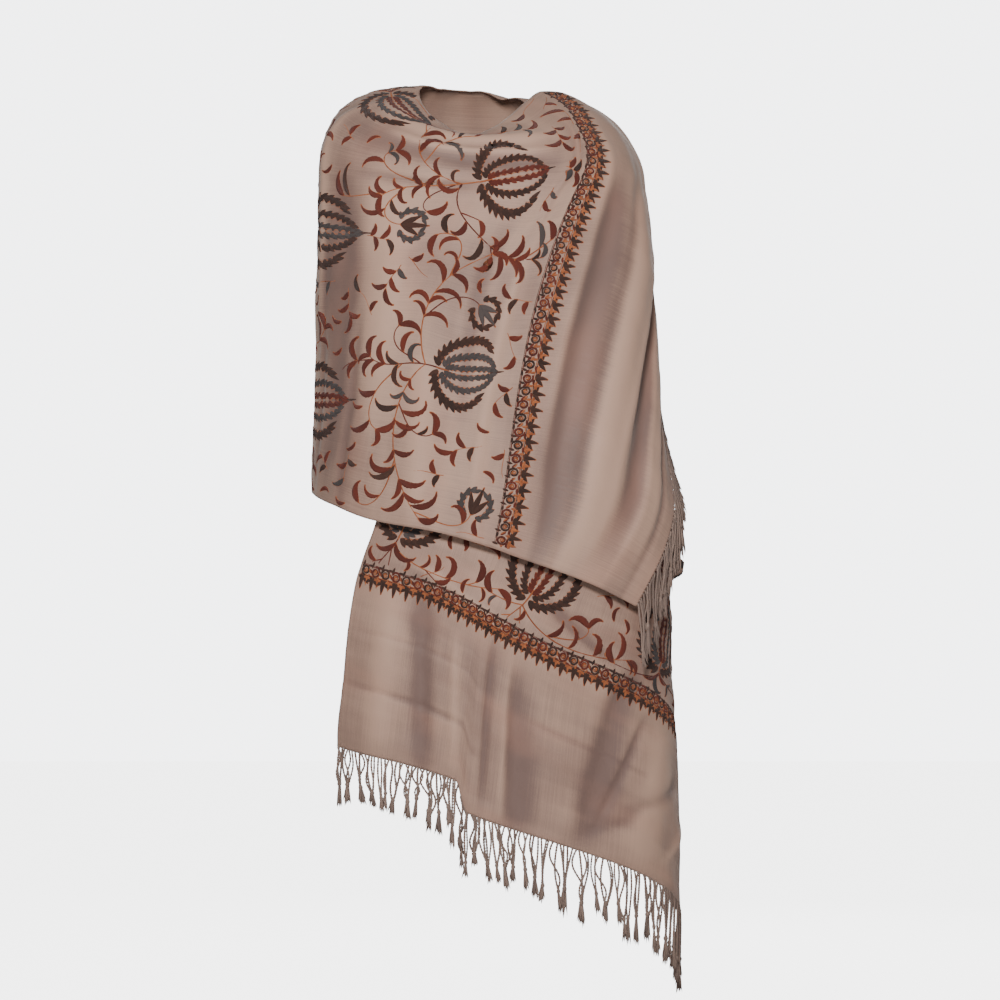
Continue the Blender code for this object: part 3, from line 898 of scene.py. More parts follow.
@dataclass
class ShawlCloth:
    """The cloth itself, as three thin shells that meet edge to edge at the back."""

    cloth: WornCloth
    finish: CottonFinish
    wall: float = 0.0008
    selvage_wall: float = 0.0015
    selvage: float = 0.005
    painted_shade_fold_height: float = 0.006
    plans: tuple[SheetPlan, ...] = (
        SheetPlan("falling_cloth", 0.0, 0.92, ("falling_end", "right_shoulder_turn")),
        SheetPlan("back_cloth", 0.92, 1.188, ("back_stretch",)),
        SheetPlan("front_cloth", 1.188, 2.0,
                  ("left_shoulder_turn", "front_wrap", "thrown_end")),
    )

    def shell(self, start: int, end: int) -> tuple[Array, Array, Array]:
        """Closed thin shell over rows of the grid.

        The outer skin is the grid itself.  The inner skin is the same grid moved in along
        the normals by the wall, which is a little thicker at the selvages.

        Args:
            start: first row of the grid.
            end: last row of the grid.

        Returns:
            Vertices, faces and flat places of the vertices.
        """
        cloth = self.cloth
        rows = slice(start, end + 1)
        outer, normals = cloth.points[rows], cloth.normals[rows]
        edge = np.minimum(cloth.acrosses, CLOTH_WIDTH - cloth.acrosses)
        wall = self.wall + (self.selvage_wall - self.wall) * (1 - ease(edge / self.selvage))
        inner = outer - normals * wall[None, :, None]
        count, columns = outer.shape[:2]
        size = count * columns
        skin = grid_faces(count, columns)
        numbers = np.arange(size).reshape(count, columns)
        round_edge = np.concatenate((numbers[0, :-1], numbers[:-1, -1], numbers[-1, :0:-1],
                                     numbers[:0:-1, 0]))
        onward = np.roll(round_edge, -1)
        rim = np.stack((onward, round_edge, round_edge + size, onward + size), axis=-1)
        faces = np.concatenate((skin, skin[:, ::-1] + size, rim))
        flat = np.stack(np.meshgrid(cloth.alongs[rows], cloth.acrosses, indexing="ij"), -1)
        return (np.concatenate((outer.reshape(-1, 3), inner.reshape(-1, 3))), faces,
                np.tile(flat.reshape(-1, 2), (2, 1)))

    def ridges(self, flat: Array) -> Array:
        """Painted fold shade: return 0 in the troughs of the folds, 1 on their ridges and 0.5
        between.
        """
        lift = self.cloth.drape.fold_lift(flat[:, 0], flat[:, 1])
        return 0.5 + 0.5 * np.tanh(lift / self.painted_shade_fold_height)

    def build(self) -> None:
        """Make the three sheets and hide the model's nodes that each one stands for."""
        material = self.finish.material()
        for plan in self.plans:
            start, end = (round(edge / self.cloth.cell) for edge in (plan.start, plan.end))
            verts, faces, flat = self.shell(start, end)
            parts = MeshParts()
            # the tint of each vertex is painted fold shade, dark in the troughs and light on the
            # ridges
            parts.add(verts, faces, flat / CLOTH_LENGTH, self.ridges(flat))
            piece = parts.piece(plan.name, material, "shawl_cloth")
            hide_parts(*plan.nodes)


class Thread(Enum):
    """Embroidery threads: the piece's name and the record's slot."""

    ORANGE = ("orange_embroidery", "embroidery_rust")
    RUST = ("rust_embroidery", "embroidery_rust")
    BROWN = ("brown_embroidery", "embroidery_brown")
    GREY = ("grey_embroidery", "embroidery_grey")


class Palmette(NamedTuple):
    """A serrated palmette: where its base lies on the flat cloth, its bearing, its threads."""

    along: float
    across: float
    bearing: float
    middle: Thread
    heart: Thread
    outer: Thread = Thread.BROWN


class FrondPlan(NamedTuple):
    """A pair of fronds: the ellipse of its spine, from one angle to another, and its lobes."""

    centre: float
    length: float
    breadth: float
    start: float
    end: float
    longest: float
    lobes: int


class Leaf(NamedTuple):
    """A comma leaf by a stem: its stem point, how it opens, its length and its bend."""

    at: int
    open_by: float
    length: float
    bend: float


# the outer, middle and inner pair of fronds of a palmette
FRONDS = (
    FrondPlan(0.041, 0.043, 0.042, 5, 126, 0.0185, 12),
    FrondPlan(0.045, 0.040, 0.0200, 12, 155, 0.0140, 12),
    FrondPlan(0.047, 0.039, 0.0030, 8, 172, 0.0120, 11),
)
SPRAY_LEAVES = (
    Leaf(7, 0.0, 0.030, 1.9),
    Leaf(6, -0.5, 0.026, -1.7),
    Leaf(4, 0.6, 0.026, 1.6),
    Leaf(2, -0.6, 0.022, -1.5),
    Leaf(1, 0.7, 0.020, 1.4),
)
# lines of a border: how far outward, thread, half width
BORDER_LINES = (
    (-0.0004, Thread.BROWN, 0.0008),
    (0.0020, Thread.RUST, 0.0012),
    (0.0240, Thread.ORANGE, 0.0011),
    (0.0264, Thread.BROWN, 0.0010),
)
# dashes round a ring of a border: angle and thread
RING_DASHES = (
    (0.75, Thread.RUST), (2.4, Thread.BROWN), (3.9, Thread.BROWN),
    (5.5, Thread.ORANGE), (1.6, Thread.ORANGE), (4.7, Thread.RUST),
)
# petals of a border's large and small fans: angle and share of the length
LARGE_FAN = ((0, 1.0), (0.75, 0.85), (-0.75, 0.85))
SMALL_FAN = ((0, 0.72), (0.9, 0.5), (-0.9, 0.5))
PALMETTES = (
    Palmette(1.550, 0.178, -24, Thread.BROWN, Thread.RUST),
    Palmette(1.582, 0.488, 2, Thread.GREY, Thread.GREY),
    Palmette(1.300, 0.040, -4, Thread.GREY, Thread.RUST),
    Palmette(1.305, 0.272, 8, Thread.BROWN, Thread.GREY),
    Palmette(1.310, 0.560, -5, Thread.GREY, Thread.RUST),
    Palmette(1.065, 0.160, 5, Thread.GREY, Thread.GREY),
    Palmette(1.070, 0.440, -4, Thread.BROWN, Thread.RUST),
    Palmette(0.825, 0.060, 3, Thread.GREY, Thread.RUST),
    Palmette(0.830, 0.300, 4, Thread.BROWN, Thread.GREY),
    Palmette(0.830, 0.575, -6, Thread.GREY, Thread.GREY),
    Palmette(0.590, 0.130, -3, Thread.BROWN, Thread.GREY),
    Palmette(0.590, 0.350, 5, Thread.GREY, Thread.RUST),
    Palmette(0.575, 0.560, 4, Thread.GREY, Thread.GREY),
    Palmette(0.352, 0.045, 6, Thread.GREY, Thread.GREY),
    Palmette(0.350, 0.272, 10, Thread.BROWN, Thread.RUST),
    Palmette(0.350, 0.520, -4, Thread.GREY, Thread.RUST),
)


def turning_path(length: float, first_bend: float, last_bend: float, points: int) -> Array:
    """Path from the origin along +x whose bend grows evenly.

    The heading is the integral of a bend that runs from one value to the other, and the
    place is the running sum of the heading's cosine and sine.

    Args:
        length: the path's length in metres.
        first_bend: bend at the start, in radians over the whole length.
        last_bend: bend at the end.
        points: how many points.

    Returns:
        One row of x and y a point.
    """
    share = (np.arange(points - 1) + 0.5) / (points - 1)
    heading = first_bend * share + (last_bend - first_bend) * share ** 2 / 2
    steps = pairs(np.cos(heading), np.sin(heading)) * length / (points - 1)
    return np.concatenate((np.zeros((1, 2)), np.cumsum(steps, axis=0)))


def turned(angle: float) -> Array:
    """Return the matrix that turns by an angle in radians."""
    return np.array([[np.cos(angle), -np.sin(angle)], [np.sin(angle), np.cos(angle)]])


@dataclass
class Needlework:
    """Raised stitches laid on the cloth, one mesh for each thread."""

    cloth: WornCloth
    field_ends: tuple[float, float] = (0.286, 1.714)
    margin: float = 0.005
    sink: float = -0.00018
    ground: float = 0.004
    rings: int = 42
    ring_line: float = 0.0130
    fans: int = 74
    fan_line: float = 0.0270
    fan_length: float = 0.0165
    fine: float = 0.0007
    proud: float = 0.0009
    outline: float = 0.0011
    outline_crown: float = 0.0004
    leaf_reach: float = 0.004
    leaf_length: tuple[float, float] = (0.033, 0.052)
    leaf_half: tuple[float, float] = (0.0038, 0.0052)
    leaf_opening: tuple[float, float] = (0.40, 0.85)
    leaf_bend: tuple[float, float] = (1.6, 2.9)
    leaf_pace: tuple[float, float] = (0.018, 0.022)
    paired_leaves: float = 0.70
    stem_half: tuple[float, float] = (0.0016, 0.0011)
    stem_points: int = 34
    shortest_stem: int = 6
    orange_stems: float = 0.7
    twig_pace: int = 8
    twig_length: float = 0.095
    flowering_twigs: float = 0.45
    twig_flower: float = 0.042
    spray_flower: float = 0.036
    flowering_sprays: float = 0.15
    parts: dict[Thread, MeshParts] = field(init=False)
    taken: Array = field(init=False)
    crossed: Array = field(init=False)
    stems: list[tuple[Array, float]] = field(default_factory=list)
    chance: np.random.Generator = field(default_factory=lambda: np.random.default_rng(21))

    def __post_init__(self) -> None:
        """Start with an empty cloth."""
        self.parts = {thread: MeshParts() for thread in Thread}
        self.taken = np.zeros((round(CLOTH_LENGTH / self.ground) + 1,
                               round(CLOTH_WIDTH / self.ground) + 1), bool)
        self.crossed = self.taken.copy()

    def cells(self, path: Array, reach: float) -> tuple[Array, Array]:
        """Find the ground cells near a path.

        Args:
            path: places on the flat cloth.
            reach: how near, in metres.

        Returns:
            Rows and columns of the cells.
        """
        count = round(reach / self.ground)
        span = np.arange(-count, count + 1)
        offs = np.stack(np.meshgrid(span, span, indexing="ij"), -1).reshape(-1, 2)
        near = (np.round(path / self.ground).astype(int)[:, None, :] + offs).reshape(-1, 2)
        return tuple(np.clip(near, 0, np.array(self.taken.shape) - 1).T)

    def is_free(self, path: Array, reach: float) -> bool:
        """Test whether a path keeps inside the field and has room.

        Args:
            path: places on the flat cloth.
            reach: how near, in metres.

        Returns:
            True where no leaf or flower lies near it.
        """
        low, high = self.field_ends
        along, across = path.T
        inside = (along.min() > low + self.ground and along.max() < high - self.ground
                  and across.min() > self.margin and across.max() < CLOTH_WIDTH - self.margin)
        return bool(inside and not self.taken[self.cells(path, reach)].any())

    def mark(self, path: Array, reach: float) -> None:
        """Note that a leaf or a flower lies along a path."""
        self.taken[self.cells(path, reach)] = True

    def band(self, thread: Thread, path: Array, half: Array, crown: float = 0.0005,
             columns: int = 3, tint: float | None = None) -> Array:
        """Crowned ribbon of stitches along a path on the flat cloth.

        Each row goes to both sides of the path by the half width in real distance, and is
        raised by a parabola, closed below.  A side step on the flat cloth is the worn side
        direction multiplied by the inverse of the slopes' Gram matrix.

        Args:
            thread: its thread.
            path: places on the flat cloth.
            half: half width at each place, in metres.
            crown: height of the middle.
            columns: points across the ribbon.
            tint: how light it is, or None for a chance value.

        Returns:
            The flat places of all points, row by row.
        """
        cloth = self.cloth
        inside = (path[:, 1] > self.margin) & (path[:, 1] < CLOTH_WIDTH - self.margin)
        if inside.sum() < 3:
            return np.zeros((0, columns, 2))
        path, half = path[inside], np.asarray(half)[inside]
        point = cloth.at(path)
        ahead = unit(np.gradient(point, axis=0))
        side = unit(np.cross(cloth.normal(path), ahead))
        slope_a, slope_b = (cloth.read(grid, path[:, 0], path[:, 1])
                            for grid in (cloth.slope_along, cloth.slope_across))
        aa, ab, bb = ((slope_a * slope_a).sum(-1), (slope_a * slope_b).sum(-1),
                      (slope_b * slope_b).sum(-1))
        on_a, on_b = (side * slope_a).sum(-1), (side * slope_b).sum(-1)
        scale = np.maximum(aa * bb - ab * ab, 0.03)
        step = pairs((bb * on_a - ab * on_b) / scale, (aa * on_b - ab * on_a) / scale)
        share = np.linspace(1, -1, columns)
        flat = path[:, None] + step[:, None] * (half[:, None] * share)[..., None]
        rise = crown * np.minimum(half / 0.0012, 1.0)
        verts = cloth.at(flat, self.sink + rise[:, None] * (1 - share ** 2))
        uvs = pairs(run_along(point)[:, None], half[:, None] * share)
        shade = self.chance.uniform(0.2, 0.9) if tint is None else tint
        self.parts[thread].add(verts, grid_faces(len(path), columns, closed=True), uvs, shade)
        return flat

    def grown(self, base: Array, bearing: float, local: Array) -> Array:
        """Return a path in metres laid on the flat cloth from a base, without skew."""
        return base + local @ (self.cloth.flat_per_metre(base) @ turned(bearing)).T

    def bearing(self, place: Array, step: Array) -> float:
        """Return the worn bearing of a short step on the flat cloth."""
        worn = np.linalg.solve(self.cloth.flat_per_metre(place), step)
        return float(np.arctan2(worn[1], worn[0]))

    def leaf(self, base: Array, bearing: float, length: float, bend: float, half: float,
             thread: Thread, outline: bool = True, forced: bool = False) -> bool:
        """Comma leaf: a curved crowned ribbon, widest before its middle, pointed at both ends.

        Args:
            base: where it starts on the flat cloth.
            bearing: its first heading on the worn cloth, in radians.
            length: its length.
            bend: how far it turns, in radians.
            half: its greatest half width.
            thread: its thread.
            outline: whether an orange line shows all round it.
            forced: whether it is drawn even where stitches lie already.

        Returns:
            Whether there was room for it.
        """
        path = self.grown(base, bearing, turning_path(length, 0.5 * bend, 1.5 * bend, 9))
        if not forced and not self.is_free(path[4:], 0.0):
            return False
        share = np.linspace(0, 1, 9)
        width = 0.0004 + half * np.sin(np.pi * share ** 0.8) ** 1.15
        self.band(thread, path, width, self.proud, 5)
        if outline:
            self.band(Thread.ORANGE, path, width + self.outline, self.outline_crown, 5)
        self.mark(path, self.leaf_reach)
        return True

    def frond(self, base: Array, frame: Array, spine: Array, side: int, thread: Thread,
              longest: float, lobes: int) -> None:
        """Serrated frond: slanting lobes side by side on the outer side of a spine.

        Lobe lengths follow the root of a sine from the spine's foot to its tip, and an
        orange line lies along each lobe and along the spine.

        Args:
            base: the palmette's base on the flat cloth.
            frame: matrix from the palmette's metres to the flat cloth.
            spine: points in the palmette's metres.
            side: +1 for lobes on the left of the spine, -1 for the right.
            thread: the lobes' thread.
            longest: length of the longest lobe.
            lobes: how many.
        """
        spread = np.linspace(0, len(spine) - 1, 4 * len(spine))
        fine = read_path(spread, np.arange(len(spine)), spine)
        ahead = unit(np.gradient(fine, axis=0))
        half = 0.70 * run_along(fine)[-1] / lobes
        for number in range(lobes):
            share = (number + 0.3) / lobes
            place = round(share * (len(fine) - 1))
            lean = side * np.radians(74 - 40 * share)
            length = longest * (0.45 + 0.55 * np.sin(np.pi * (0.15 + 0.75 * share)) ** 0.6)
            heading = turned(lean) @ ahead[place]
            local = turning_path(length, -0.4 * side, -0.5 * side, 7)
            local = fine[place] + local @ turned(np.arctan2(heading[1], heading[0])).T
            out = np.linspace(0, 1, 7)
            width = 0.0002 + half * (1 - out ** 2.2) * np.minimum(1, 0.7 + 1.2 * out)
            flat = self.band(thread, base + local @ frame.T, width, self.fine, 5)
            if len(flat) > 3:
                edge = flat[:, 0 if side > 0 else -1]
                self.band(Thread.ORANGE, edge, np.full(len(edge), 0.00060), 0.0008)
        outward = side * pairs(-ahead[:, 1], ahead[:, 0])
        body = (fine + 0.30 * longest * outward)[2:-2:3]
        full = 0.27 * longest * np.sin(np.pi * np.linspace(0.2, 0.9, len(body))) ** 0.5
        self.band(thread, base + body @ frame.T, full, self.fine, 5, 0.35)
        path = base + fine[::3] @ frame.T
        self.band(Thread.ORANGE, path, np.linspace(0.0009, 0.0006, len(path)), self.fine)
        self.band(thread, base + (fine[-1] + np.outer(np.linspace(-0.3, 1, 6), ahead[-1])
                                  * longest * 0.8) @ frame.T,
                  np.array([0.1, 0.9, 1.0, 0.8, 0.5, 0.1]) * half * 0.7, self.fine, 5)

    def palmette(self, plan: Palmette) -> None:
        """Draw a palmette: two pairs of curved fronds, a heart in two halves and a spike.

        The spines are parts of ellipses, x = centre - a cos t and y = b sin t, bent a little
        by a parabola.

        Args:
            plan: its place, bearing and threads.
        """
        base = np.array([plan.along, plan.across])
        frame = self.cloth.flat_per_metre(base, 0.03) @ turned(np.radians(plan.bearing))
        lean = self.chance.uniform(-1.2, 1.2)
        for side in (1, -1):
            for pair, thread in zip(FRONDS, (plan.outer, plan.middle, plan.heart)):
                t = np.radians(np.linspace(pair.start, pair.end, 15))
                spine = pairs(pair.centre - pair.length * np.cos(t),
                              side * pair.breadth * np.sin(t))
                spine[:, 1] += lean * spine[:, 0] ** 2
                self.frond(base, frame, spine, side, thread, pair.longest, pair.lobes)
        reach = np.linspace(0.080, 0.106, 6)
        tip = pairs(reach, lean * reach ** 2)
        self.band(plan.outer, base + tip @ frame.T, np.linspace(0.0028, 0.0007, 6), self.fine,
                  5)
        foot = pairs(np.linspace(-0.006, 0.012, 5), 0.0)
        self.band(Thread.ORANGE, base + foot @ frame.T, np.linspace(0.0014, 0.0022, 5), 0.0008)
        spots = np.stack(np.meshgrid(np.linspace(-0.012, 0.086, 26),
                                     np.linspace(-0.056, 0.056, 30)), -1).reshape(-1, 2)
        spots = spots[((spots[:, 0] - 0.036) / 0.056) ** 2 + (spots[:, 1] / 0.060) ** 2 < 1]
        self.mark(np.clip(base + spots @ frame.T, 0, (CLOTH_LENGTH, CLOTH_WIDTH)),
                  self.leaf_reach)

    def flower(self, base: Array, bearing: float, size: float) -> bool:
        """Small lobed flower: two drooping wings of petals and three petals between.

        Args:
            base: where its stalk meets it, on the flat cloth.
            bearing: heading of its middle petal on the worn cloth.
            size: its length.

        Returns:
            Whether there was room for it.
        """
        middle = self.grown(base, bearing, size * np.array([[0.4, 0.0], [0.8, 0.0],
                                                            [0.5, 0.4], [0.5, -0.4]]))
        if not self.is_free(middle, 0.007):
            return False
        frame = self.cloth.flat_per_metre(base) @ turned(bearing)
        wing, heart = ((Thread.GREY, Thread.BROWN) if self.chance.random() < 0.6
                       else (Thread.BROWN, Thread.GREY))
        for side in (1, -1):
            t = np.radians(np.linspace(25, 150, 9))
            spine = pairs(0.40 * size - 0.40 * size * np.cos(t),
                          side * 0.40 * size * np.sin(t))
            self.frond(base, frame, spine, side, wing, 0.30 * size, 5)
        for angle, length in ((0, 1.0), (0.42, 0.78), (-0.42, 0.78)):
            self.leaf(base, bearing + angle, length * size, 0.25 * angle, 0.10 * size, heart,
                      forced=True)
        self.mark(middle, 0.012)
        return True

    def leaf_thread(self) -> Thread:
        """Return a chance leaf thread, mostly rust."""
        return self.chance.choice([Thread.RUST] * 6 + [Thread.BROWN, Thread.GREY])

    def foliage(self, path: Array, pace: float) -> None:
        """Grow comma leaves by turns on both sides of a stem, some in pairs or forked.

        Args:
            path: the stem on the flat cloth.
            pace: distance between leaves along it.
        """
        run = run_along(path)
        side = self.chance.choice([-1, 1])
        for at in np.arange(0.5 * pace, run[-1], pace):
            place = read_path(at, run, path)
            on = min(int(np.searchsorted(run, at)), len(path) - 1)
            bearing = self.bearing(place, path[on] - path[on - 1])
            side = -side
            length, half = (self.chance.uniform(*span)
                            for span in (self.leaf_length, self.leaf_half))
            open_by, bend = (side * self.chance.uniform(*span)
                             for span in (self.leaf_opening, self.leaf_bend))
            thread = self.leaf_thread()
            for shrink in (1.0, 0.75, 0.55):
                if self.leaf(place, bearing + open_by, shrink * length, bend, shrink * half,
                             thread):
                    if self.chance.random() < self.paired_leaves:
                        self.leaf(place, bearing - 0.2 * open_by, 0.75 * shrink * length,
                                  -0.8 * bend, 0.85 * shrink * half, thread)
                    break

    def vine(self, start: Array, heading: float, length: float, first: float,
             last: float) -> Array:
        """Draw a stem on the flat cloth, cut short where it meets other stitches.

        Args:
            start: its first place.
            heading: its first heading on the flat cloth, in radians.
            length: its length on the flat cloth.
            first: bend at the start, in radians over the whole length.
            last: bend at the end.

        Returns:
            The stem's places.
        """
        path = start + turning_path(length, first, last, self.stem_points) @ turned(heading).T
        low, high = self.field_ends
        outside = ((path[:, 0] < low + 0.006) | (path[:, 0] > high - 0.006)
                   | (path[:, 1] < 0.008) | (path[:, 1] > CLOTH_WIDTH - 0.008))
        blocked = outside | ((self.taken | self.crossed)[self.cells(path, 0.0)]
                             & (np.arange(len(path)) > self.shortest_stem))
        if blocked.any():
            path = path[:max(int(np.argmax(blocked)), 1)]
        if len(path) < self.shortest_stem:
            return path[:1]
        thread = Thread.ORANGE if self.chance.random() < self.orange_stems else Thread.RUST
        self.band(thread, path, np.linspace(*self.stem_half, len(path)))
        self.crossed[self.cells(path, self.leaf_reach)] = True
        self.stems.append((path, float(np.sign(last))))
        return path

    def clothe(self) -> None:
        """Grow the leaves of each stem, and a curled pair at its end."""
        for path, way in self.stems:
            bearing = self.bearing(path[-1], path[-1] - path[-2])
            for side, length in ((way or 1.0, 0.036), (-(way or 1.0), 0.028)):
                self.leaf(path[-1], bearing + 0.35 * side, length, side * 2.0, 0.15 * length,
                          Thread.RUST)
        for path, _ in self.stems:
            self.foliage(path, self.chance.uniform(*self.leaf_pace))

    def arabesque(self, plan: Palmette) -> None:
        """Lead the main stems of one palmette: back from its base and round its sides.

        Args:
            plan: the palmette.
        """
        base = np.array([plan.along, plan.across])
        lean = np.radians(plan.bearing)
        back = base + turned(lean) @ np.array([-0.004, 0.0])
        sway = self.chance.choice([-1, 1])
        root = self.vine(back, lean + np.pi, 0.105, 1.3 * sway, -2.4 * sway)
        for side in (1, -1):
            start = root[min(5, len(root) - 1)]
            self.vine(start, lean + side * self.chance.uniform(2.0, 2.3), 0.30,
                      -side * 2.9, -side * self.chance.uniform(-0.4, 0.8))

    def twigs(self) -> None:
        """Let curling twigs leave each stem by turns, some of them with a flower."""
        for stem, way in list(self.stems):
            side = way or 1.0
            for at in range(self.twig_pace // 2 + 3, len(stem) - 1, self.twig_pace):
                step = stem[at + 1] - stem[at]
                heading = np.arctan2(step[1], step[0]) + side * self.chance.uniform(0.5, 0.8)
                turn = side * self.chance.uniform(1.8, 3.0)
                twig = self.vine(stem[at], heading,
                                 self.twig_length * self.chance.uniform(0.7, 1.2),
                                 -0.4 * turn, 1.8 * turn)
                side = -side
                if len(twig) > 9 and self.chance.random() < self.flowering_twigs:
                    self.flower(twig[-1], self.bearing(twig[-1], twig[-1] - twig[-2]),
                                self.twig_flower)

    def spray(self, place: Array) -> None:
        """Fill a bare spot with a short stem that carries a few leaves, or with a flower.

        Args:
            place: the spot on the flat cloth.
        """
        if (self.chance.random() < self.flowering_sprays
                and self.flower(place, self.chance.uniform(-3, 3), self.spray_flower)):
            return
        for _ in range(5):
            bearing = self.chance.uniform(-np.pi, np.pi)
            stem = self.grown(place, bearing, turning_path(0.038, 1.2, -1.8, 8))
            if self.is_free(stem, 0.003):
                break
        else:
            self.leaf(place, bearing, 0.024, 1.8, 0.0030, Thread.RUST)
            return
        self.band(Thread.ORANGE, stem, np.linspace(0.0010, 0.0008, 8))
        way = self.chance.choice([-1, 1])
        for leaf in SPRAY_LEAVES:
            step = stem[leaf.at] - stem[leaf.at - 1]
            self.leaf(stem[leaf.at], self.bearing(stem[leaf.at], step) + way * leaf.open_by,
                      leaf.length, way * leaf.bend, 0.0042, self.leaf_thread())
        self.mark(stem, 0.003)

    def fill(self) -> None:
        """Try a jittered grid of places for sprays, coarse first and then finer."""
        low, high = self.field_ends
        for pace in (0.040, 0.026, 0.020):
            alongs = np.arange(low + 0.5 * pace, high, pace)
            acrosses = np.arange(0.5 * pace, CLOTH_WIDTH, pace)
            grid = np.stack(np.meshgrid(alongs, acrosses), -1).reshape(-1, 2)
            grid = grid + self.chance.uniform(-0.35, 0.35, grid.shape) * pace
            for place in grid:
                if self.is_free(place[None, :], 0.008):
                    self.spray(place)

    def border(self, line: float, outward: int) -> None:
        """Border across the cloth: lines, a row of spiral rings, and fans that point out.

        Args:
            line: where its inner line lies along the cloth.
            outward: +1 or -1, the way along the cloth that the fans point.
        """
        across = np.linspace(self.margin + 0.001, CLOTH_WIDTH - self.margin - 0.001, 170)
        for off, thread, half in BORDER_LINES:
            path = pairs(line + outward * off, across)
            self.band(thread, path, np.full(len(path), half), tint=0.6)
        heading = 0.0 if outward > 0 else np.pi
        span = CLOTH_WIDTH - 2 * self.margin
        for count, out, shape in ((self.rings, self.ring_line, self.ring),
                                  (self.fans, self.fan_line, self.fan)):
            for number in range(count):
                middle = self.margin + span * (number + 0.5) / count
                shape(np.array([line + outward * out, middle]), heading, number % 2 == 0)

    def ring(self, centre: Array, heading: float, dark: bool) -> None:
        """One spiral ring of the border with leaf dashes round it.

        The spiral's radius shrinks evenly over one and a third turns.

        Args:
            centre: its middle on the flat cloth.
            heading: the way out of the border on the worn cloth.
            dark: whether the spiral is brown rather than rust.
        """
        frame = self.cloth.flat_per_metre(centre) @ turned(heading)
        room = 0.5 * (CLOTH_WIDTH - 2 * self.margin) / self.rings
        fit = min(1.0, room / (0.0074 * np.linalg.norm(frame[1])))
        t = np.linspace(0, 2.7 * np.pi, 19) + self.chance.uniform(0, 6)
        radius = fit * np.linspace(0.0068, 0.0024, 19)
        spiral = pairs(1.15 * radius * np.cos(t), radius * np.sin(t))
        self.band(Thread.BROWN if dark else Thread.RUST, centre + spiral @ frame.T,
                  np.full(19, fit * 0.0019), self.proud)
        self.band(Thread.ORANGE, centre + 0.45 * spiral[::2] @ frame.T,
                  np.full(10, fit * 0.0013), 0.0010)
        for angle, thread in RING_DASHES:
            spot = np.array([1.15 * np.cos(angle), np.sin(angle)]) * 0.0092 * fit
            dash = spot + np.outer(np.linspace(-0.0046, 0.0046, 5),
                                   [np.cos(angle + 0.9), np.sin(angle + 0.9)])
            self.band(thread, centre + dash @ frame.T,
                      np.array([0.0004, 0.0019, 0.0024, 0.0019, 0.0004]), self.fine)

    def fan(self, foot: Array, heading: float, dark: bool) -> None:
        """One fan of petals that points out of the border.

        Args:
            foot: where the petals meet, on the flat cloth.
            heading: the way out of the border on the worn cloth.
            dark: whether it is a large dark fan or a small orange one.
        """
        for angle, share in LARGE_FAN if dark else SMALL_FAN:
            self.leaf(foot, heading + angle, share * self.fan_length, 0.35 * angle,
                      0.0030 if dark else 0.0022, Thread.BROWN if dark else Thread.ORANGE,
                      outline=dark, forced=True)

    def build(self, finishes: dict[Thread, ThreadFinish]) -> None:
        """Work the palmettes, the vines, the sprays between them and the borders.

        Args:
            finishes: the finish of each thread.
        """
        for plan in PALMETTES:
            self.palmette(plan)
        for plan in PALMETTES:
            self.arabesque(plan)
        self.twigs()
        self.clothe()
        self.fill()
        low, high = self.field_ends
        self.border(low - 0.001, -1)
        self.border(high + 0.001, 1)
        for thread, parts in self.parts.items():
            name, slot = thread.value
            parts.piece(name, finishes[thread].material(), slot)


class FringePlan(NamedTuple):
    """One fringe: its piece and node, the cloth edge it hangs from, and its lengths."""

    name: str
    node: str
    edge: float
    inward: int
    short: float
    long: float
    seed: int


def tube(path: Array, radius: Array, sides: int, ply: float = 0.0,
         pitch: float = 0.006) -> tuple[Array, Array, Array]:
    """Round or two-ply tube along a path, closed to a point at both ends.

    A ring stands square to the path at each point.  Its radius is multiplied by one plus the
    ply depth times the cosine of twice the angle, which turns once in a pitch.

    Args:
        path: points along the middle.
        radius: radius at each point.
        sides: points in a ring.
        ply: depth of the ply grooves, as a share of the radius.
        pitch: length of a full turn of the plies.

    Returns:
        Vertices, faces and UVs in metres.
    """
    ahead = unit(np.gradient(path, axis=0))
    side = unit(np.cross(ahead, np.array([0.37, 0.91, 0.19])))
    up = np.cross(side, ahead)
    run = run_along(path)
    angle = np.linspace(0, 2 * np.pi, sides, endpoint=False)
    wave = 1 + ply * np.cos(2 * (angle[None, :] - 2 * np.pi * run[:, None] / pitch))
    reach = radius[:, None] * wave
    verts = (path[:, None] + side[:, None] * (reach * np.cos(angle))[..., None]
             + up[:, None] * (reach * np.sin(angle))[..., None])
    faces = grid_faces(len(path), sides, closed=True)[:, ::-1]
    return verts, faces, pairs(run[:, None], 0.001 * angle[None, :])


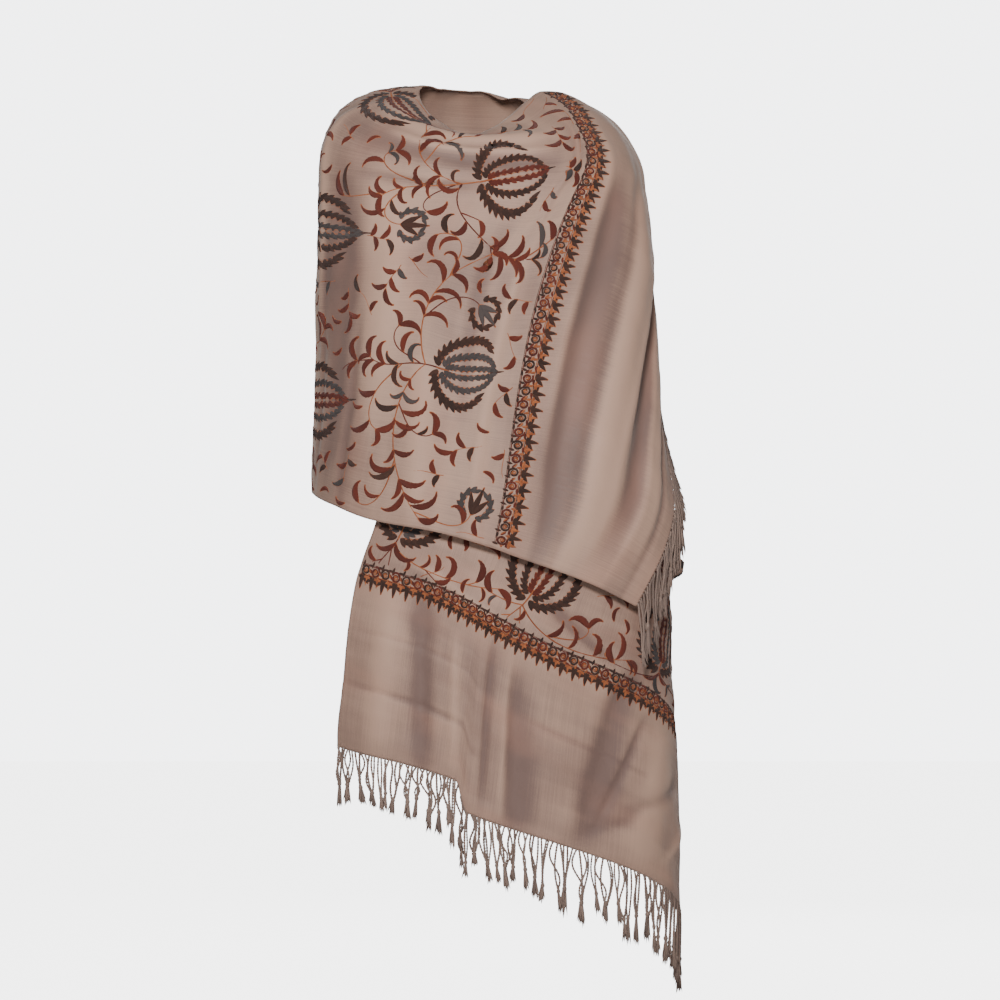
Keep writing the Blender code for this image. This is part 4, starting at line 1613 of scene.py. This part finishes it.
@dataclass
class Fringe:
    """Twisted cords that hang from an end of the cloth, in knotted bunches."""

    cloth: WornCloth
    plan: FringePlan
    cords: int = 132
    cord_radius: float = 0.00145
    knot_radius: float = 0.0027
    hairs: int = 9
    pace: float = 0.004
    ring_gap: float = 0.0016
    rooted: float = 0.003
    bunch_sizes: tuple[int, int] = (2, 5)
    uneven: tuple[float, float] = (0.86, 1.14)
    knot_share: float = 0.68
    knot_scatter: float = 0.08
    gather: float = 0.76
    drift: float = 1.8
    sway: float = 1.3
    corner_at: float = 0.225
    corner_longer: float = 0.022
    fray_spread: tuple[float, float, float] = (0.0046, 0.0030, 0.001)
    hair_radii: tuple[float, ...] = (0.0006, 0.0011, 0.0012, 0.0011, 0.0008, 0.00005)

    def hang(self, turn: Array, level: Array, lift: Array, bends: Array) -> Array:
        """Follow cords down the form.

        The level falls by the pace over the form's slope, the bearing moves by its bends.

        Args:
            turn: bearing of each cord's start.
            level: level of each start.
            lift: how far each lies off the form, one row a pace.
            bends: change of bearing from the start, one row a pace.

        Returns:
            Points, one row a pace and one column a cord.
        """
        drape = self.cloth.drape
        rows = []
        for row_lift, bend in zip(lift, bends):
            here = turn + bend
            rows.append(drape.form_point(here, level)
                        + row_lift[:, None] * drape.form_normal(here, level))
            slope = drape.form_point(here, level + STEP) - drape.form_point(here, level - STEP)
            level = level - self.pace * 2 * STEP / np.linalg.norm(slope, axis=-1)
        return np.stack(rows)

    def build(self, finish: ThreadFinish) -> None:
        """Lay all cords, their knots and frayed tips as one piece.

        Args:
            finish: the yarn's finish.
        """
        plan, chance = self.plan, np.random.default_rng(self.plan.seed)
        across = (np.arange(self.cords) + 0.5) / self.cords * CLOTH_WIDTH
        across = across + chance.uniform(-0.3, 0.3, self.cords) * CLOTH_WIDTH / self.cords
        edge = np.full(self.cords, plan.edge)
        turn, level, lift = self.cloth.drape.place(edge, across)
        bunch = np.zeros(self.cords, int)
        start = number = 0
        while start < self.cords:
            size = int(chance.integers(*self.bunch_sizes))
            bunch[start:start + size] = number
            start, number = start + size, number + 1
        middle = np.array([turn[bunch == index].mean() for index in range(number)])
        longer = ease((across - 0.20) / 0.30) if plan.edge == 0 else 0.5 * np.ones(self.cords)
        length = plan.short + (plan.long - plan.short) * longer
        if plan.edge == 0:
            corner = (across - self.corner_at) / self.corner_longer
            length = length + self.corner_longer * np.exp(-corner ** 2)
        length = length * chance.uniform(*self.uneven, number)[bunch]
        steps = int(np.ceil(length.max() / self.pace)) + 1
        down = np.arange(steps)[:, None] * self.pace
        scatter = self.knot_scatter * chance.uniform(-1, 1, number)
        knot_at = (self.knot_share + scatter)[bunch] * length
        drift = chance.uniform(-self.drift, self.drift, number)[bunch]
        waves = chance.integers(1, 3, self.cords)
        sway = chance.uniform(-self.sway, self.sway, self.cords) * np.sin(
            np.pi * np.clip(down / knot_at, 0, 1) * waves)
        pull = ease(down / knot_at) ** 2.0 * (middle[bunch] - turn) * self.gather
        bends = pull + drift * (down / length) ** 1.5 + sway
        stand = (lift + 0.0012 * np.sin(1.9 * np.arange(self.cords))
                 * ease(down / 0.02) + 0.001)
        points = self.hang(turn, level, stand, bends)
        inside = self.cloth.at(pairs(edge + self.rooted * plan.inward, across), -0.0004)
        parts = MeshParts()
        run = np.arange(steps) * self.pace
        at = np.concatenate(([-self.rooted], run))
        for cord in range(self.cords):
            path = np.concatenate((inside[cord][None], points[:, cord]))
            ring = np.linspace(-self.rooted, knot_at[cord],
                               round(knot_at[cord] / self.ring_gap))
            line = read_path(ring, at, path)
            radius = np.full(len(line), self.cord_radius) * chance.uniform(0.85, 1.15)
            radius[[0, -1]] = 0.00005
            tint = chance.uniform(0.2, 0.9)
            parts.add(*tube(line, radius, 6, 0.26), tint)
            self.fray(parts, at, path, knot_at[cord], length[cord], tint, chance)
        for index in range(number):
            one = np.flatnonzero(bunch == index)
            centre = read_path(knot_at[one[0]] + np.linspace(-0.005, 0.005, 9), run,
                               points[:, one].mean(axis=1))
            bulge = self.knot_radius * (0.75 + 0.12 * len(one))
            radius = bulge * np.sin(np.pi * np.linspace(0.04, 0.96, 9)) ** 0.6
            parts.add(*tube(centre, radius, 8, 0.16, 0.009), chance.uniform(0.2, 0.6))
        piece = parts.piece(plan.name, finish.material(), "fringe_yarn")
        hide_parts(plan.node)

    def fray(self, parts: MeshParts, at: Array, path: Array, start: float, end: float,
             tint: float, chance: np.random.Generator) -> None:
        """Open the end of a cord into fine hairs.

        Each hair follows the cord's own line and leaves it by a parabola.

        Args:
            parts: where the hairs go.
            at: distance of each path point from the cloth's edge.
            path: the cord's points.
            start: distance at which it opens.
            end: distance at which it ends.
            tint: the cord's tint.
            chance: the source of unevenness.
        """
        for _ in range(self.hairs):
            tip = start + (end - start) * chance.uniform(0.75, 1.12)
            run = np.linspace(start - 0.002, tip, 6)
            line = read_path(run, at, path)
            aside = chance.uniform(-1, 1, 3) * self.fray_spread
            line = line + np.outer(np.linspace(0.0, 1.0, 6) ** 1.6, aside)
            parts.add(*tube(line, np.array(self.hair_radii), 4), tint)


FRINGES = (
    FringePlan("falling_fringe_cords", "falling_end_fringe", 0.0, 1, 0.070, 0.094, 31),
    FringePlan("thrown_fringe_cords", "thrown_end_fringe", CLOTH_LENGTH, -1, 0.086, 0.096, 47),
)


class Lamp(NamedTuple):
    """A square soft light: its place, its turns in degrees, its size and its power."""

    name: str
    place: tuple[float, float, float]
    turn: tuple[float, float, float]
    size: float
    power: float


LAMPS = (
    Lamp("key", (-0.10, -2.15, 0.42), (67, 0, -3), 0.45, 58),
    Lamp("fill", (2.4, -2.6, -0.9), (97, 0, 42), 1.6, 4),
    Lamp("back", (0.8, 3.2, 0.3), (78, 0, 165), 1.6, 30),
)


@dataclass
class Studio:
    """Pale floor, soft lights and the camera at the photograph's view."""

    floor_level: float = -1.43
    floor_reach: float = 9.0
    view_centre: tuple[float, float] = (0.0206, -0.5617)
    view_width: float = 1.37
    cloth_depth: float = -0.12
    camera_distance: float = 6.4
    sensor: float = 36.0
    surround_light: float = 0.19
    surround_look: float = 5.0
    floor_look: float = 4.4

    def floor(self) -> None:
        """A broad pale plane."""
        reach = self.floor_reach
        mesh = bpy.data.meshes.new("floor")
        corners = [(-reach, -reach), (reach, -reach), (reach, reach), (-reach, reach)]
        mesh.from_pydata([(x, y, self.floor_level) for x, y in corners], [], [(0, 1, 2, 3)])
        material, nodes, shader = new_material("pale_floor")
        place = nodes.add("ShaderNodeTexCoord").outputs["Object"]
        shade = nodes.mix(nodes.noise(place, 1.5), (0.80, 0.80, 0.80, 1), (0.84, 0.84, 0.84, 1))
        seen = nodes.add("ShaderNodeLightPath").outputs["Is Camera Ray"]
        nodes.fill(shader.inputs, {
            "Base Color": shade,
            "Roughness": 0.9,
            "Emission Color": nodes.mix(seen, (0.0, 0.0, 0.0, 1), (1.0, 1.0, 1.0, 1)),
            "Emission Strength": self.floor_look,
        })
        mesh.materials.append(material)
        floor = bpy.data.objects.new("floor", mesh)
        bpy.context.scene.collection.objects.link(floor)

    def light(self, plan: Lamp) -> None:
        """Add one soft light.

        Args:
            plan: its place, turns, size and power.
        """
        lamp = bpy.data.lights.new(plan.name, "AREA")
        lamp.shape, lamp.size, lamp.energy = "SQUARE", plan.size, plan.power
        holder = bpy.data.objects.new(plan.name, lamp)
        holder.location = plan.place
        holder.rotation_euler = tuple(np.radians(plan.turn))
        bpy.context.scene.collection.objects.link(holder)

    def camera(self) -> None:
        """A long lens in front, level with the middle of the picture."""
        lens = bpy.data.cameras.new("camera")
        lens.sensor_width = self.sensor
        lens.lens = self.sensor * self.camera_distance / self.view_width
        holder = bpy.data.objects.new("camera", lens)
        holder.location = (self.view_centre[0], self.cloth_depth - self.camera_distance,
                           self.view_centre[1])
        holder.rotation_euler = (np.pi / 2, 0.0, 0.0)
        bpy.context.scene.collection.objects.link(holder)
        bpy.context.scene.camera = holder

    def world(self) -> None:
        """An even pale surround, brighter as a backdrop than as a light."""
        world = bpy.data.worlds.new("studio")
        world.use_nodes = True
        nodes = Nodes(world.node_tree)
        seen = nodes.add("ShaderNodeLightPath").outputs["Is Camera Ray"]
        nodes.fill(world.node_tree.nodes["Background"].inputs, {
            "Color": (0.97, 0.98, 1.0, 1.0),
            "Strength": nodes.ranged(seen, 0.0, 1.0, self.surround_light, self.surround_look),
        })
        bpy.context.scene.world = world

    def build(self) -> None:
        """Set up the whole studio."""
        self.floor()
        self.world()
        for plan in LAMPS:
            self.light(plan)
        self.camera()


# the deep colour is the dark of the uneven dye and also the painted shade of the fold troughs
COTTON = CottonFinish("rose_beige_cotton", (0.46, 0.286, 0.209), (0.170, 0.104, 0.086))
THREADS = {
    Thread.ORANGE: ThreadFinish("orange_wool", (0.46, 0.140, 0.050), (0.22, 0.056, 0.020)),
    Thread.RUST: ThreadFinish("rust_wool", (0.160, 0.028, 0.014), (0.062, 0.012, 0.008)),
    Thread.BROWN: ThreadFinish("brown_wool", (0.070, 0.028, 0.018), (0.022, 0.012, 0.009)),
    Thread.GREY: ThreadFinish("grey_wool", (0.088, 0.066, 0.060), (0.038, 0.031, 0.030)),
}
YARN = ThreadFinish("fringe_cotton", (0.33, 0.225, 0.180), (0.150, 0.105, 0.088),
                    pitch=0.0016, slant=0.9, depth=0.0002)


def main() -> None:
    """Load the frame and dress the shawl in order."""
    logging.basicConfig(level=logging.INFO, format="%(message)s")
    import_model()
    Studio().build()
    cloth = WornCloth()
    ShawlCloth(cloth, COTTON).build()
    Needlework(cloth).build(THREADS)
    for plan in FRINGES:
        Fringe(cloth, plan).build(YARN)


if __name__ == "__main__":
    main()
